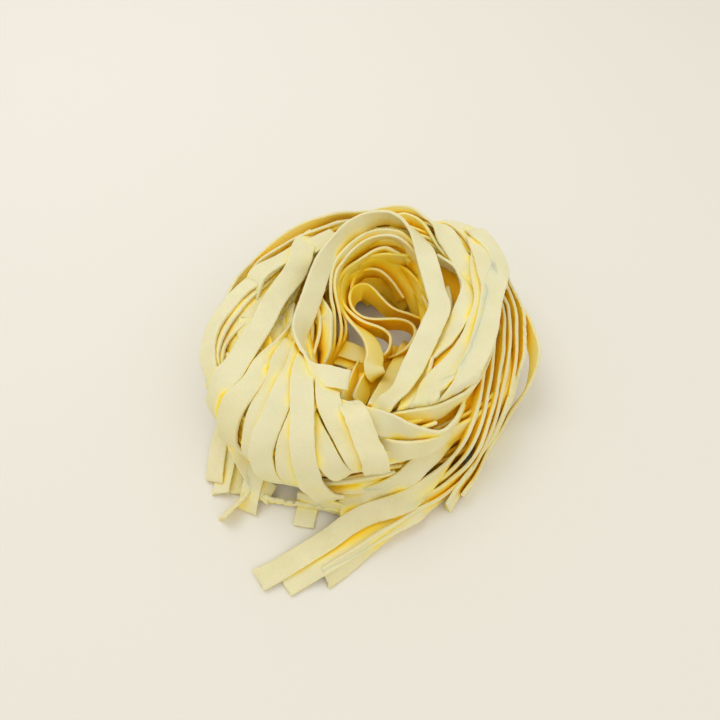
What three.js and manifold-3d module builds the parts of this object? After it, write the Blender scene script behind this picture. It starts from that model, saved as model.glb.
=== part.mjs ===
// A nest of wide ribbon egg pasta: one coiled bundle with a hollow middle and loose ends.
// Units are millimetres, +Z is up, and the nest rests on z = 0.
import * as THREE from "three";
import { mergeVertices } from "three/addons/utils/BufferGeometryUtils.js";
import Module from "manifold-3d";

// ---------- driving dimensions ----------
const RIBBON_THICKNESS = 1.4;      // of every ribbon
const NEST_HEIGHT = 40;            // of the coil's skin, on which the ribbons lie
const SHOULDER = 1.25;             // 1 is a round section, more is squarer
const OUTER_RADII = [70, 75, 68, 63, 63, 62, 69, 71, 74, 69, 70, 73];   // every 30 degrees, from +X
const HOLLOW_RADII = [25, 28, 35, 38, 29, 22, 20, 21, 29, 38, 36, 28];  // every 30 degrees, from +X
const CORE_DEPTH = 2.6;            // the solid core lies this far inside the skin
const CORE_INSET = [8, 1, 0, 0, 0, 0, 0, 0, 0, 5, 17, 15];   // and this far more on the outside
const INSET_AT_FOOT = 0.4;         // share of that inset left at the foot
const CORE_SHELF = [6, 5, 3, 3, 0, 0, 0, 3, 10, 15, 14, 11];    // reach into the hollow at the foot
const CORE_ROUND = 36;             // core faces round the ring
const CORE_SECTION = 12;           // core faces round the section
const SEGMENT = 11.5;                // length of one straight piece of a ribbon
const TIGHT_SEGMENT = 7.4;           // and in the loops of the hollow
const COIL_WIDTH = 8.5;
const COIL_LIFT = 0.3;
const COIL_WANDER = 5;             // degrees that a plain coil sways up and down
const COIL_STATION = 15;
const COIL_SEGMENT = 20;
const LOWEST = 0.25;                // least height of a ribbon's underside above the board
const SHORTEST_EDGE = 1e-3;        // corners nearer than this are one corner
const MERGE_PASSES = 3;
const NEST_X = 1.19;                  // centre of the bounding box, from the ring's centre
const NEST_Y = 20.09;
const PASTA_COLOUR = 0xe8dfae;

// Ribbons that lie on the skin. Each is its width, the edge that its stations follow
// (0 the middle, 1 the edge that is left of its direction) and the stations: azimuth, angle round
// the section (0 outward, 90 up, 180 inward), lift off the skin, and roll about its own length.
const SKIN_RIBBONS = {
  "A0": [8.5, 1, [[84, 72, 0, 70], [95, 70, 0, 50], [105, 67, 1, 45], [115, 62, 1, 60],
    [125, 56, 1, 70], [140, 49, 1, 62], [155, 46, 1, 60], [168, 50, 1, 60], [177, 54, 0, 55],
    [186, 52, -3, 50]]],
  "A1": [8.5, 1, [[168, 58, -4, 60], [174, 52, -2.5, 60], [180, 44, -1.2, 55], [186, 37, -0.4, 46],
    [192, 33, 0, 40], [198, 31, 0, 36], [204, 32, -0.2, 33], [210, 36, -0.8, 30],
    [217, 41, -2, 30], [224, 44, -4, 30]]],
  "A3": [8.5, -1, [[110, 90, -2, 0], [123, 93, 0, 0], [130.5, 87, 0, 0], [138.5, 80.5, 0, 0],
    [146.5, 73.5, 0, 4], [154, 67, 0, 6], [168.5, 64, -1.2, 10], [174, 60, -3, 15],
    [180, 52, -6, 15], [186, 44, -8, 15]]],
  "A4": [8.5, 1, [[138, 103, -3, 5], [148, 95.5, -2, 5], [157, 88.5, -1, 5],
    [164.5, 81.5, -0.7, 5], [172.5, 74.5, -0.5, 5], [179.5, 67.5, -0.3, 5], [185, 61.5, 0, 5],
    [191, 56.5, 0, 3], [196, 54, 0, 0], [201.5, 52.5, 0, 0], [207, 50, 0, 0], [214, 47, -1, 0],
    [222, 42, -3, 0]]],
  "A5b": [8.5, 1, [[157.5, 112, -4.5, 0], [168.5, 104.5, -3.5, 0], [177.5, 96, -2.8, 0],
    [184.5, 87.5, -2.3, 5], [190.5, 73, -2, 10], [194.5, 62.5, -1.8, 14], [199.5, 57, -1.5, 14],
    [204, 54, -1, 10], [209.5, 52.5, -1, 5], [215, 50, -1.5, 0], [222, 44, -3, 0]]],
  "F1": [9.5, 1, [[139.5, 119.5, 0.3, 0], [156.5, 120, 0.3, 0], [174.5, 116, 0.3, 0],
    [188.5, 109, 0.3, 0], [198, 100, 0.3, 0], [204, 90.5, 0.3, 0], [210, 76, 0.3, 0],
    [213.5, 67, 0.3, 0], [215.5, 56, 0.3, 0], [217.5, 45.5, 0.3, 0], [219, 34, 0.3, 0],
    [220.5, 20, 0.3, 0], [223, 4, 0, 0], [227, -15, -1, 0]]],
  "F2": [9, -1, [[161.5, 135, -4, -75], [181, 128.5, -3, -72], [197, 114, -2, -65],
    [203.5, 99, -1.2, -50], [207, 88, -0.5, -30], [210.5, 76.5, 0, -12], [214, 67, 0, 0],
    [216, 56, 0, 0], [217.5, 45.5, 0, 0], [218.7, 35, 0, 0], [220, 21, 0, 0], [222, 5, 0, 0],
    [226, -14, -1, 0]]],
  "F3": [9, -1, [[199.5, 115, -4, 0], [207.5, 103.5, -2.5, 0], [213.5, 96, -1.5, 0],
    [218, 90, -1, 0], [221.5, 84, -0.5, 0], [223.5, 75, -0.4, 0], [224.5, 62, -0.4, 0],
    [226, 51.5, -0.4, 0], [228, 39.5, -0.4, 0], [229.5, 27, -0.4, 0], [231, 12, -0.4, 0],
    [233, -3, -0.6, 0], [237, -18, -1.2, 0]]],
  "F4": [8.8, 1, [[212, 148, -6, 0], [224, 133, -2.5, 0], [234, 116, 0, 0], [235.5, 104.5, 0.2, 0],
    [237.5, 89.5, 0.2, 0], [239, 76, 0.2, 0], [239.5, 63.5, 0.2, 0], [240, 50, 0.2, 0],
    [240.5, 40, 0.2, 0], [241.5, 32, 0.2, 0], [242.5, 20, 0.2, 0], [244, 5, 0, 0], [247, -14, -1, 0]]],
  "F5": [8.8, -1, [[216, 150, -6, 0], [227, 134, -2.5, 0], [234.5, 116.5, 0, 0],
    [236, 105, 0.2, 0], [238, 90, 0.2, 0], [239.5, 76.5, 0.2, 0], [240, 64, 0.2, 0],
    [240.5, 50.5, 0.2, 0], [241.5, 41, 0.2, 0], [242, 33.5, 0.2, 0], [243, 20, 0.2, 0],
    [244.5, 4, 0, 0], [248, -14, -1, 0]]],
  "F6": [8.8, 1, [[220, 152, -6, 0], [231, 133, -2, 0], [238.5, 118, 0, 0], [244, 106, 0.3, 0],
    [248, 92.5, 0.4, 0], [250.5, 79, 0.4, 0], [252.5, 66.5, 0.4, 0], [254, 54.5, 0.4, 0],
    [255.5, 39.5, 0.4, 0], [256.5, 21.5, 0.4, 0], [257.5, 8, 0.4, 0], [259, -8, 0, 0],
    [262, -20, -1, 0]]],
  "F7": [9, -1, [[226, 142, -8, 0], [233, 131, -4, 0], [239, 120, -0.5, 0], [246.5, 101.5, 0, 0],
    [251.5, 88.5, 0, 0], [257, 73.5, 0, 0], [260.5, 59, 0, 0], [264.5, 40, -0.3, 0],
    [266, 33, -1.5, 0], [268, 25, -5, 0], [270.5, 17, -10, 0]]],
  "F8": [9.4, 1, [[258, 142, -8, 0], [263, 133, -4, 0], [267, 122.5, 0, 0], [269.5, 111, 0.5, 0],
    [271, 97, 0.8, 0], [273, 83.5, 0.8, 0], [274.5, 69.5, 0.8, 0], [276, 56, 0.8, 0],
    [276.5, 37, 0.8, 0]]],
  "La": [8.5, 1, [[279.5, 103, -10.5, 0], [281, 107, -8.4, 0], [282.5, 112, -6, 0],
    [284, 117, -3.4, 0], [285.5, 122, -1.4, 0], [287, 126, -0.9, 0], [291, 135, -0.8, 0],
    [296, 142, -0.8, 0], [303, 148, -0.8, 0], [311, 150, -0.6, 0], [319, 149, -0.5, 0],
    [326, 144, -0.3, 0], [338.5, 135.5, -0.2, 5], [350.5, 127, 0, 12], [362.5, 119, 0.5, 22],
    [373, 114.5, 0.8, 38], [383, 111, 1, 58], [391, 110, 1, 78], [397.5, 112.5, 0.5, 88],
    [404, 116, -1, 92]]],
  "C1a": [8.5, 1, [[280, 99, -11, 0], [281.2, 103, -9, 0], [282.5, 108, -6.8, 0],
    [284, 113, -4.2, 0], [285.8, 118, -2.2, 0], [287.5, 123, -1.2, 0], [290.5, 128, -0.8, 0],
    [295, 136, -0.8, 0], [302, 143, -0.7, 0], [309, 145, -0.5, 0], [316, 143, -0.3, 0],
    [325, 136.5, -0.3, 0], [339.5, 128.5, -0.2, 0], [352.5, 122, 0, 0], [365, 115.5, 0, 0],
    [375.5, 112, 0, 0], [384, 109, 0, 0], [390.5, 108.5, 0.3, 3], [394.5, 109.5, 0.6, 8],
    [401.5, 107.5, 0.8, 14], [408, 103.5, 1, 22], [414.5, 95, 1.5, 34], [419, 86.5, 2, 48],
    [424.5, 74.5, 2.5, 66], [429, 68, 3, 80], [434.5, 67.5, 3, 88], [441.5, 71, 2, 90],
    [448.5, 70, 0, 90]]],
  "Lc": [9, 1, [[283.5, 99, -11.5, 0], [285.5, 102, -9.5, 0], [287.5, 106, -7, 0],
    [289.5, 110, -4.5, 0], [291.5, 114, -2.4, 0], [294, 119.5, -1.2, 0], [297, 124.5, -0.7, 0],
    [303.5, 127.5, 0, 0], [315.5, 124.5, 0.3, 0], [329, 117.5, 0.3, 0], [344, 110, 0.3, 0],
    [353.5, 104, 0.3, 0], [361.5, 100.5, 0.3, 0], [368.5, 100.5, 0.3, 0], [377.5, 100.5, 0.2, 0],
    [386.5, 95.5, 0.1, 0], [394, 83.5, 0, 0], [401.5, 75, -0.3, 0], [406.5, 69, -0.6, 0],
    [414, 61, -1.5, 0], [421, 54, -3, 0]]],
  "C3": [8.8, 1, [[292.5, 87, -12, 0], [294, 89.5, -9.8, 0], [296, 92.5, -7.2, 0],
    [298, 95.5, -4.8, 0], [300, 98, -2.8, 0], [303, 100.3, -1.4, 0], [308, 103, -0.5, 0],
    [314.5, 103.5, 0.2, 0], [323.5, 107, 0.2, 0], [339, 103, 0.2, 0], [349.5, 99.5, 0.2, 0],
    [358.5, 96.5, 0.2, 0], [366, 92, 0.2, 0], [374, 86, 0.2, 0], [380.5, 78, 0.2, 0],
    [386.5, 75, 0.2, 0], [390.5, 74.5, 0, 0], [395, 74.5, 0, 0], [400, 71.5, -1, 0],
    [407.5, 57, -3, 0]]],
  "C4": [8.8, -1, [[302.5, 80, -12, 0], [304, 82.5, -9.8, 0], [305.5, 85, -7.2, 0],
    [307, 87.5, -4.8, 0], [308.7, 89.5, -2.9, 0], [311, 89.5, -1.5, 0], [315, 87.5, -0.6, 0],
    [319.5, 85, 0, 0], [326, 84.5, 0, 0], [332.5, 84.5, 0, 0], [340, 83.5, 0, 0],
    [348.5, 79.5, 0, 0], [357, 75.5, 0, 0], [365, 73, 0, 0], [371.5, 73.5, 0, 0],
    [378.5, 73.5, 0, 0], [384.5, 72, 0, 0], [390.5, 67, -1, 0], [398, 51, -3, 0]]],
};

// Ribbons that hang free, with stations x, y, z and the tilt of the face from level.
const FREE_RIBBONS = {
  "arch": [9, 1, [[2.3, -42.9, 31, -20], [6.1, -39.8, 33.5, -25], [8.8, -36, 36, -28],
    [11.2, -31.2, 37.5, -24], [13.2, -26, 38.5, -16], [16.1, -19.9, 39.5, -9],
    [19.1, -13.4, 40.3, -5], [22.2, -6.8, 41, -2], [24.8, 0, 41.2, 2], [24.2, 5.8, 41.5, 5],
    [22.9, 12.8, 42, 9], [21.6, 20.4, 42.5, 13], [20.6, 26.6, 43, 19], [19.6, 32.5, 43.5, 28],
    [18.8, 36.6, 44, 39], [17.5, 40.9, 44.5, 52], [15.8, 44, 45, 68], [13.4, 46.2, 45.5, 86],
    [10.4, 48.1, 45.5, 90], [5.9, 48.7, 45.5, 97], [1.5, 48.1, 45.5, 104], [-3, 46.5, 45.5, 111],
    [-6.5, 44.1, 45.5, 114], [-9.6, 41.1, 45.5, 113], [-12.6, 37.3, 45.5, 112],
    [-15.9, 32, 45.5, 113], [-19.1, 26.3, 45.3, 116], [-21.9, 20.5, 45, 120],
    [-24.1, 14.4, 44.5, 124], [-25.8, 8.7, 43.8, 127], [-27.2, 3.2, 43, 128],
    [-28.4, -1.1, 42, 128], [-29.6, -4.3, 41, 127], [-30.2, -7.7, 40.3, 125],
    [-29.9, -11.5, 39.5, 133], [-28.8, -14, 39, 125], [-27.4, -16.5, 38.9, 118],
    [-26.4, -18.5, 38.8, 112], [-25.2, -21.2, 39, 108], [-24.5, -24.1, 39, 109],
    [-24, -27.1, 38.8, 121], [-23, -30.4, 38.4, 141], [-21.2, -33.1, 37.8, 172],
    [-18.6, -34.4, 37, 186], [-16, -34.7, 36, 181], [-13, -34.6, 35, 178],
    [-9.5, -34.7, 34.2, 176], [-5.7, -34.7, 33.5, 173]]],
  "H2": [8.5, 1, [[25.7, 31.1, 38, 100], [22.7, 34.6, 39, 100], [20.1, 36.6, 40, 100],
    [17, 39.4, 40.5, 100], [14.8, 40.4, 41, 102], [12.2, 41.7, 41, 104], [9.5, 42.2, 41, 105],
    [5.9, 41.9, 41, 105], [2.8, 41, 41, 105], [0.1, 39.8, 41, 105], [-2.6, 38, 41, 105],
    [-5, 36, 41, 104], [-7.4, 33.3, 41, 103], [-9.5, 30.7, 41, 102], [-11.7, 27.6, 41, 100],
    [-13.4, 24.9, 40.5, 98], [-14.6, 22, 40, 96], [-15.4, 18.6, 39.5, 94], [-15.7, 14.6, 39, 92],
    [-15.6, 10.1, 38, 90], [-15, 6, 36.5, 90], [-14, 1.9, 35, 90], [-13.6, -2.1, 33.5, 90],
    [-13.6, -6.1, 32, 90], [-14.2, -10.7, 30, 90], [-15.4, -14.4, 28, 90], [-17.1, -18.4, 25, 90],
    [-20.2, -22.3, 20, 90]]],
  "H3": [8.5, 1, [[26.5, 24.5, 35, 85], [23.6, 30, 36, 85], [21.2, 32.7, 37.5, 85],
    [19.2, 34.6, 38.3, 85], [17, 36.5, 38.8, 72], [14.8, 37.9, 39.2, 68], [12.6, 39, 39.3, 67],
    [10, 39.9, 39.3, 71], [6.9, 39.9, 39.3, 75], [3.7, 39.3, 39.3, 83], [0.6, 38.1, 39.3, 91],
    [-2.6, 35.8, 39.3, 90], [-5.2, 33.1, 39.3, 88], [-7.4, 30.2, 39.3, 84], [-9.5, 27.1, 39, 83],
    [-11.4, 23.7, 38.7, 79], [-12.9, 20.1, 38.3, 95], [-13.7, 15.8, 37.5, 95],
    [-13.8, 11.3, 36.5, 92], [-13, 7.1, 35, 90], [-11.9, 3.4, 33, 90], [-10.8, -0.4, 31, 90],
    [-10.6, -4.5, 29.5, 90], [-11.4, -8.2, 27.5, 90], [-12.9, -11.6, 25, 90],
    [-14.9, -14.7, 22, 90], [-17.6, -17.8, 17, 90]]],
  "H8": [8.5, 1, [[28.9, 32.3, 30, 88], [25.3, 34.1, 31, 88], [22, 34.8, 32, 88],
    [17.4, 34.3, 32.5, 90], [13.8, 34.5, 33, 92], [10.6, 34.8, 33, 95], [7.9, 35, 33, 97],
    [5.2, 34.6, 33, 98], [2.4, 34.1, 33, 100], [-0.3, 33.2, 33, 103], [-3.5, 31.4, 33, 107],
    [-6.4, 29.2, 33, 110], [-9, 26.5, 33, 112], [-11.4, 23.3, 32.8, 113], [-12.7, 19.4, 32.3, 113],
    [-13, 15, 31.6, 113], [-12.4, 10.8, 30.8, 113], [-11.1, 6.7, 30.2, 112],
    [-9.2, 3.3, 29.8, 113], [-7.3, 0.2, 29.4, 117], [-5.5, -2.1, 29, 124], [-3.8, -4.6, 28.5, 132],
    [-2.4, -7, 28, 138], [-1.1, -9.2, 27.5, 141], [-0.3, -11.8, 27, 141], [-0.5, -14.2, 26.5, 141],
    [-1.6, -16.3, 26, 148], [-2.2, -18.7, 25.5, 166], [-1.8, -21.2, 25, 180],
    [-1.6, -23.1, 24.2, 183], [-1.1, -24.5, 22.8, 182], [-0.7, -24.4, 20, 180],
    [-0.4, -22.8, 16, 180], [-0.4, -19.5, 11, 180], [-1.2, -15.1, 6.5, 180]]],
  "H5": [8.5, 1, [[28.4, 12.2, 11, 110], [27.3, 15, 13.5, 112], [26.1, 17.8, 16, 116],
    [24.9, 21.1, 18.5, 120], [23.7, 24.8, 20.5, 126], [21.7, 29.1, 22.5, 132],
    [18.9, 32.3, 24.5, 132], [15.6, 34.4, 26.5, 122], [12.2, 34.9, 28.5, 108], [8.9, 34.6, 30, 98],
    [5.7, 33.9, 31, 92], [2.4, 32.8, 31.5, 90], [-0.7, 31.6, 31.8, 91], [-3.7, 30, 32, 93],
    [-6.4, 27.6, 32, 97], [-8.8, 24.8, 32, 101], [-10.8, 21.4, 31.6, 106], [-11.8, 17.7, 31, 110],
    [-11.8, 13.9, 30.2, 114], [-10.8, 10.3, 29.3, 116], [-9.1, 7, 28.6, 110], [-6.9, 4.8, 28, 102],
    [-4.3, 3, 27.4, 96], [-1.3, 1.7, 26.8, 92], [2.6, 0.9, 26, 90], [6.1, 0.1, 25.3, 90],
    [8.5, -1.1, 24.6, 90], [10, -2.6, 24, 90], [10.7, -4.8, 23.3, 90], [10.6, -6.9, 22.6, 90],
    [9.7, -9, 21.9, 90], [8.2, -10.5, 21.2, 90], [6, -11.9, 20.5, 90], [3, -12.3, 19.6, 90],
    [-0.4, -12, 18.5, 90]]],
  "H7": [8.5, 1, [[26.5, 10.9, 14.5, 95], [23.4, 11.7, 16, 88], [19.9, 12.4, 17.2, 86],
    [16.2, 12.9, 18.2, 88], [13.4, 13.9, 19, 92], [11.1, 15, 19.8, 96], [9.3, 16.5, 20.5, 100],
    [8, 18.2, 21.2, 104], [6.2, 20.4, 22, 108], [4.3, 22.2, 22.7, 112], [2.5, 23.7, 23.3, 116],
    [0.4, 24.6, 24, 120], [-2.1, 24.4, 24.8, 118], [-4.4, 23.2, 25.5, 112],
    [-6.2, 20.7, 26.2, 106], [-7.3, 17.6, 26.8, 102], [-7.8, 14.1, 27, 100], [-7.4, 10.9, 27, 97],
    [-6.1, 8.2, 26.6, 94], [-3.9, 6.2, 26, 92], [-1.3, 5, 25.4, 90], [1.8, 4.6, 24.8, 90],
    [5.8, 4.9, 24, 90], [10.3, 5.8, 23.1, 90], [14.8, 6.3, 22.2, 90], [17.9, 6, 21.6, 90],
    [20.1, 4.9, 21.1, 90], [21.4, 3, 20.6, 90], [21.8, 0.9, 20.1, 90], [21.3, -1.1, 19.6, 90],
    [20.3, -2.9, 19.1, 90], [19, -4.6, 18.6, 90], [16.7, -6.7, 18, 90], [14.5, -8, 17.5, 90],
    [11.4, -9.3, 17, 90], [8.4, -10.3, 16.5, 90], [5.3, -10.9, 16, 90], [1.8, -11.2, 15.4, 90],
    [-1.2, -11.2, 14.8, 90]]],
  "P1": [8, 0, [[-16.3, -4.2, 17, 10], [-13.2, -4.8, 16.7, 10], [-10.1, -5.5, 16.2, 8],
    [-6.5, -6.7, 15.6, 5], [-3, -8.3, 14.8, 0], [0.5, -10.1, 14, 0], [4.5, -12.6, 13, 0]]],
  "P5": [9, 0, [[3.5, -44.1, 31, 8], [5.2, -38.5, 28, 10], [7.2, -33.1, 25, 12],
    [9.3, -28, 22, 12], [12.4, -19.7, 17, 12], [16.7, -8.4, 11, 10], [21.2, 2, 7, 8]]],
  "B1": [8.5, 1, [[-3, -43.3, 32, 28], [0.8, -43.8, 34, 34], [4.5, -44.5, 35.5, 44],
    [8.1, -45.1, 36.5, 50], [12.1, -45.5, 38.3, 54], [16.2, -45.1, 38.9, 57],
    [20.2, -44.8, 39.3, 60], [24.7, -43.7, 39.6, 64], [28.5, -42.1, 39.7, 70],
    [32.3, -40.2, 39.7, 78], [35.5, -38.3, 39.6, 84], [38.8, -36, 39.6, 88], [41.7, -33, 39.6, 94],
    [44.7, -29.1, 39.6, 99], [47.6, -22.8, 39.4, 101], [50.1, -16.2, 39.1, 102],
    [52.8, -8.7, 38.6, 102], [55.2, -0.2, 37.6, 100], [57.2, 10.1, 35.6, 96]]],
  "B2": [9.2, 1, [[-14.6, -37.4, 32, 8], [-8.7, -41.2, 35, 10], [-4.1, -42.9, 36.5, 11],
    [1.1, -44.2, 37.5, 10], [6.2, -45.5, 37.7, 10], [10.2, -47, 37.3, 14], [13.1, -48.7, 36.8, 40],
    [16.1, -50.1, 36.2, 60], [19.3, -51.3, 35.6, 74], [23, -51.8, 35, 84], [26.4, -51.6, 34.4, 90],
    [29.4, -50.4, 33.9, 90], [32.1, -48.2, 33.4, 87], [34.1, -45, 33, 84], [35.9, -40.7, 32.6, 86],
    [38.1, -34.9, 32.2, 89], [41, -27.5, 31.5, 90]]],
  "B3": [8.5, 1, [[-1.1, -48.6, 29, 65], [3, -51.4, 31, 65], [6.6, -53.7, 32.3, 69],
    [10.2, -55, 32.6, 71], [15.4, -55.6, 32.5, 74], [20.2, -54.9, 32.2, 72],
    [24.8, -53.1, 31.8, 70], [28, -51.3, 31.4, 73], [31.1, -48.8, 31, 77], [33.9, -45.1, 30.5, 79],
    [36.4, -40.3, 30, 68], [39.1, -34, 29.5, 75]]],
  "R0": [9, 0, [[-10, -71, 4, 10], [-4, -70, 6, 20], [1, -68.5, 8, 28], [6, -66.5, 10, 34],
    [12, -64, 13, 38], [17, -61, 17, 40], [22, -58, 20.5, 42], [27, -54, 23, 45],
    [32, -49, 24.5, 50], [37, -43, 26, 55], [42, -35, 27, 60], [46, -26, 28, 60]]],
  "R1": [8.5, 1, [[-43, -95, 1.5, 0], [-35, -91, 1.5, 0], [-27, -86, 2.2, 4], [-18, -81, 3.5, 8],
    [-10, -75.5, 5, 12], [-1, -71, 7, 18], [10, -68, 10, 32], [20, -64.5, 14.5, 62],
    [30, -59.5, 20.5, 95], [37, -53, 27, 108], [41.5, -43, 33, 112], [44.5, -32, 36, 110],
    [46.5, -21, 37, 108], [49, -8, 37, 104], [51, 5, 36, 98]]],
  "R3": [8.5, 1, [[-33, -97, 1.5, 4], [-25, -92.5, 2, 8], [-17, -88, 3, 12], [-9, -83.5, 4, 16],
    [-1, -79, 5, 20], [7, -74.5, 6, 28], [16, -70.5, 7, 40], [27, -66, 9, 62], [34.5, -62, 12, 85],
    [39, -59, 16, 98], [42.5, -55.5, 21, 104], [45, -50.5, 25.5, 106], [47, -44.5, 29.5, 106],
    [49.5, -37, 32.5, 105], [52, -28, 34, 104], [55, -15, 34.5, 102], [57, -4, 34.4, 98],
    [57.2, 4.1, 34.6, 93], [56.3, 10.2, 35.2, 87], [54.4, 15.4, 35.4, 81], [51.5, 20, 34, 78]]],
  "R4": [8.5, 1, [[-18, -95, 2, 30], [-11, -91.5, 3, 40], [-4, -87.5, 4.5, 55], [4, -83, 5.5, 70],
    [12, -78.5, 6, 85], [19, -74.5, 6.5, 95], [26, -71, 7, 100], [32.5, -67, 8.5, 104],
    [39, -62.5, 11.5, 104], [43, -57.5, 15.5, 104], [46, -52, 21, 104], [49, -46, 26, 104],
    [51.5, -38.5, 30, 104], [54.5, -28, 32.5, 104], [57.6, -16, 34, 102], [58.9, -6, 34.9, 99],
    [59.4, 2.3, 35, 94], [58.4, 7, 35.6, 90], [56.4, 11.3, 36.3, 86], [55, 16.4, 36.6, 82],
    [54.7, 21, 36.4, 78], [54.2, 26.2, 36, 75], [52.8, 31, 35, 72], [50, 36, 33, 70]]],
  "R6": [8.5, 1, [[46.1, -51.1, 6, 85], [50.2, -45.5, 7.5, 88], [53, -41, 9.5, 90],
    [55.8, -36.1, 13, 90], [58.7, -31.3, 18.5, 92], [61.1, -26, 23.5, 94], [63.2, -20.6, 26.5, 96],
    [65.5, -13.4, 28, 98], [66.8, -5.5, 29.3, 96], [67.2, 3.5, 30.4, 92], [66.2, 9.5, 31.6, 88],
    [63.7, 15.5, 33.2, 84], [61.9, 20.4, 34, 80], [60.1, 25.7, 34.6, 78], [58.1, 30.8, 35, 76],
    [55.7, 34.6, 35.3, 74], [52.7, 38, 35.5, 72], [49.4, 41.8, 35.4, 70], [45.5, 46, 34.5, 68],
    [41, 50, 32.5, 65]]],
  "S5": [8.5, 1, [[48.5, -50.8, 6.5, 86], [51.8, -47.1, 7, 88], [55.5, -42.6, 8, 90],
    [59.2, -37.3, 9.5, 92], [62.7, -32.7, 12.5, 94], [65.8, -28.3, 17, 95],
    [68.5, -24.5, 21.5, 97], [70.5, -19.4, 26, 100], [71.7, -14.2, 28.5, 102],
    [71.6, -8.4, 29.5, 102], [70.5, -3.4, 29.5, 100], [69.3, 2.9, 28.5, 96], [67.9, 10.9, 27, 88],
    [66.5, 19, 25, 75]]],
  "D1": [8, 0, [[-55, -28, 24, 60], [-57.5, -32, 17, 50], [-60, -37, 10, 30], [-62, -43, 5, 12],
    [-63, -52, 2.4, 4], [-63, -61, 1.1, 0]]],
  "D3": [7.5, 0, [[-51, -39, 13, 20], [-53, -46, 7, 10], [-54.5, -55, 2.8, 4], [-54.5, -65.5, 1, 0]]],
  "D5": [8, 0, [[-40, -42, 17, 20], [-41.5, -48, 12, 12], [-43.5, -56, 7, 6], [-46, -64, 3.4, 2],
    [-48.5, -73, 1.2, 0]]],
  "D6": [7, 0, [[-42, -56, 3, 60], [-46, -62, 3.4, 62], [-51, -69, 3.6, 64], [-57.5, -76.5, 3.4, 62]]],
  "serr": [3, 0, [[-51, -66, 3, 80], [-44, -68, 3.2, 80], [-36, -69, 3.4, 80],
    [-27, -70.5, 3.6, 80], [-19, -72, 3.6, 80], [-9, -74.5, 3.4, 80]]],
  "sq": [8.4, 0, [[-20, -54, 8, 5], [-22, -60, 3.4, 2], [-23, -66, 1.3, 0], [-24, -72, 0.9, 0],
    [-25.5, -79, 0.9, 0]]],
  "G2": [8.5, 0, [[-19, -63, 7, 5], [-9, -64, 9.5, 15], [2, -62.5, 11, 22], [12, -59, 14, 30],
    [21, -53, 18, 36], [29, -46, 21, 42]]],
};

// Plain coils on the sides that the ribbons above leave bare: section angle, first and last azimuth.
const COILS = [
  [24, -55, 110], [2, -60, 205], [-26, -40, 250], [168, 60, 300],
];

const rad = THREE.MathUtils.degToRad;

// A smooth closed run through values that are spaced evenly round the ring.
function around(values, azimuth) {
  const n = values.length;
  const place = azimuth / 360 * n;
  const i = Math.floor(place);
  const t = place - i;
  const [a, b, c, d] = [-1, 0, 1, 2].map((k) => values[(((i + k) % n) + n) % n]);
  return b + 0.5 * t * (c - a + t * (2 * a - 5 * b + 4 * c - d + t * (3 * (b - c) + d - a)));
}

// The point of the coil's skin at an azimuth and a section angle, its outside set in by an inset
// and its inside reaching into the hollow by a shelf.
function skin(azimuth, section, lift, inset = 0, shelf = 0) {
  const outer = around(OUTER_RADII, azimuth) - inset;
  const inner = around(HOLLOW_RADII, azimuth) - shelf;
  const across = (outer - inner) / 2 + lift;
  const up = NEST_HEIGHT / 2 + lift;
  const c = Math.cos(rad(section));
  const s = Math.sin(rad(section));
  const k = (Math.abs(c) ** (2 * SHOULDER) + Math.abs(s) ** (2 * SHOULDER)) ** (-0.5 / SHOULDER);
  const radius = (outer + inner) / 2 + across * c * k;
  return new THREE.Vector3(
    radius * Math.cos(rad(azimuth)), radius * Math.sin(rad(azimuth)), NEST_HEIGHT / 2 + up * s * k);
}

function skinNormal(azimuth, section, lift) {
  const along = skin(azimuth + 0.5, section, lift).sub(skin(azimuth - 0.5, section, lift));
  const round = skin(azimuth, section + 0.5, lift).sub(skin(azimuth, section - 0.5, lift));
  return along.cross(round).normalize();
}

// Stations joined by a smooth run, as rows of the same numbers.
function smoothRun(stations, steps) {
  const first = stations[0].map((v, j) => 2 * v - stations[1][j]);
  const last = stations.at(-1).map((v, j) => 2 * v - stations.at(-2)[j]);
  const rows = [first, ...stations, last];
  const run = [];
  for (let i = 1; i < rows.length - 2; i += 1) {
    for (let k = 0; k < steps; k += 1) {
      const t = k / steps;
      run.push(rows[i].map((b, j) => {
        const [a, c, d] = [rows[i - 1][j], rows[i + 1][j], rows[i + 2][j]];
        return b + 0.5 * t * (c - a + t * (2 * a - 5 * b + 4 * c - d + t * (3 * (b - c) + d - a)));
      }));
    }
  }
  run.push(stations.at(-1));
  return run;
}

// The same run in even steps of about the given length, measured between the places.
function evenRun(run, placeOf, step) {
  const lengths = [0];
  for (let i = 1; i < run.length; i += 1) {
    lengths.push(lengths[i - 1] + placeOf(run[i]).distanceTo(placeOf(run[i - 1])));
  }
  const pieces = Math.max(2, Math.round(lengths.at(-1) / step));
  const rows = [];
  let i = 1;
  for (let k = 0; k <= pieces; k += 1) {
    const want = lengths.at(-1) * k / pieces;
    while (i < run.length - 1 && lengths[i] < want) i += 1;
    const t = (want - lengths[i - 1]) / Math.max(lengths[i] - lengths[i - 1], 1e-9);
    rows.push(run[i].map((v, j) => run[i - 1][j] + (v - run[i - 1][j]) * Math.min(t, 1)));
  }
  return rows;
}

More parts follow.
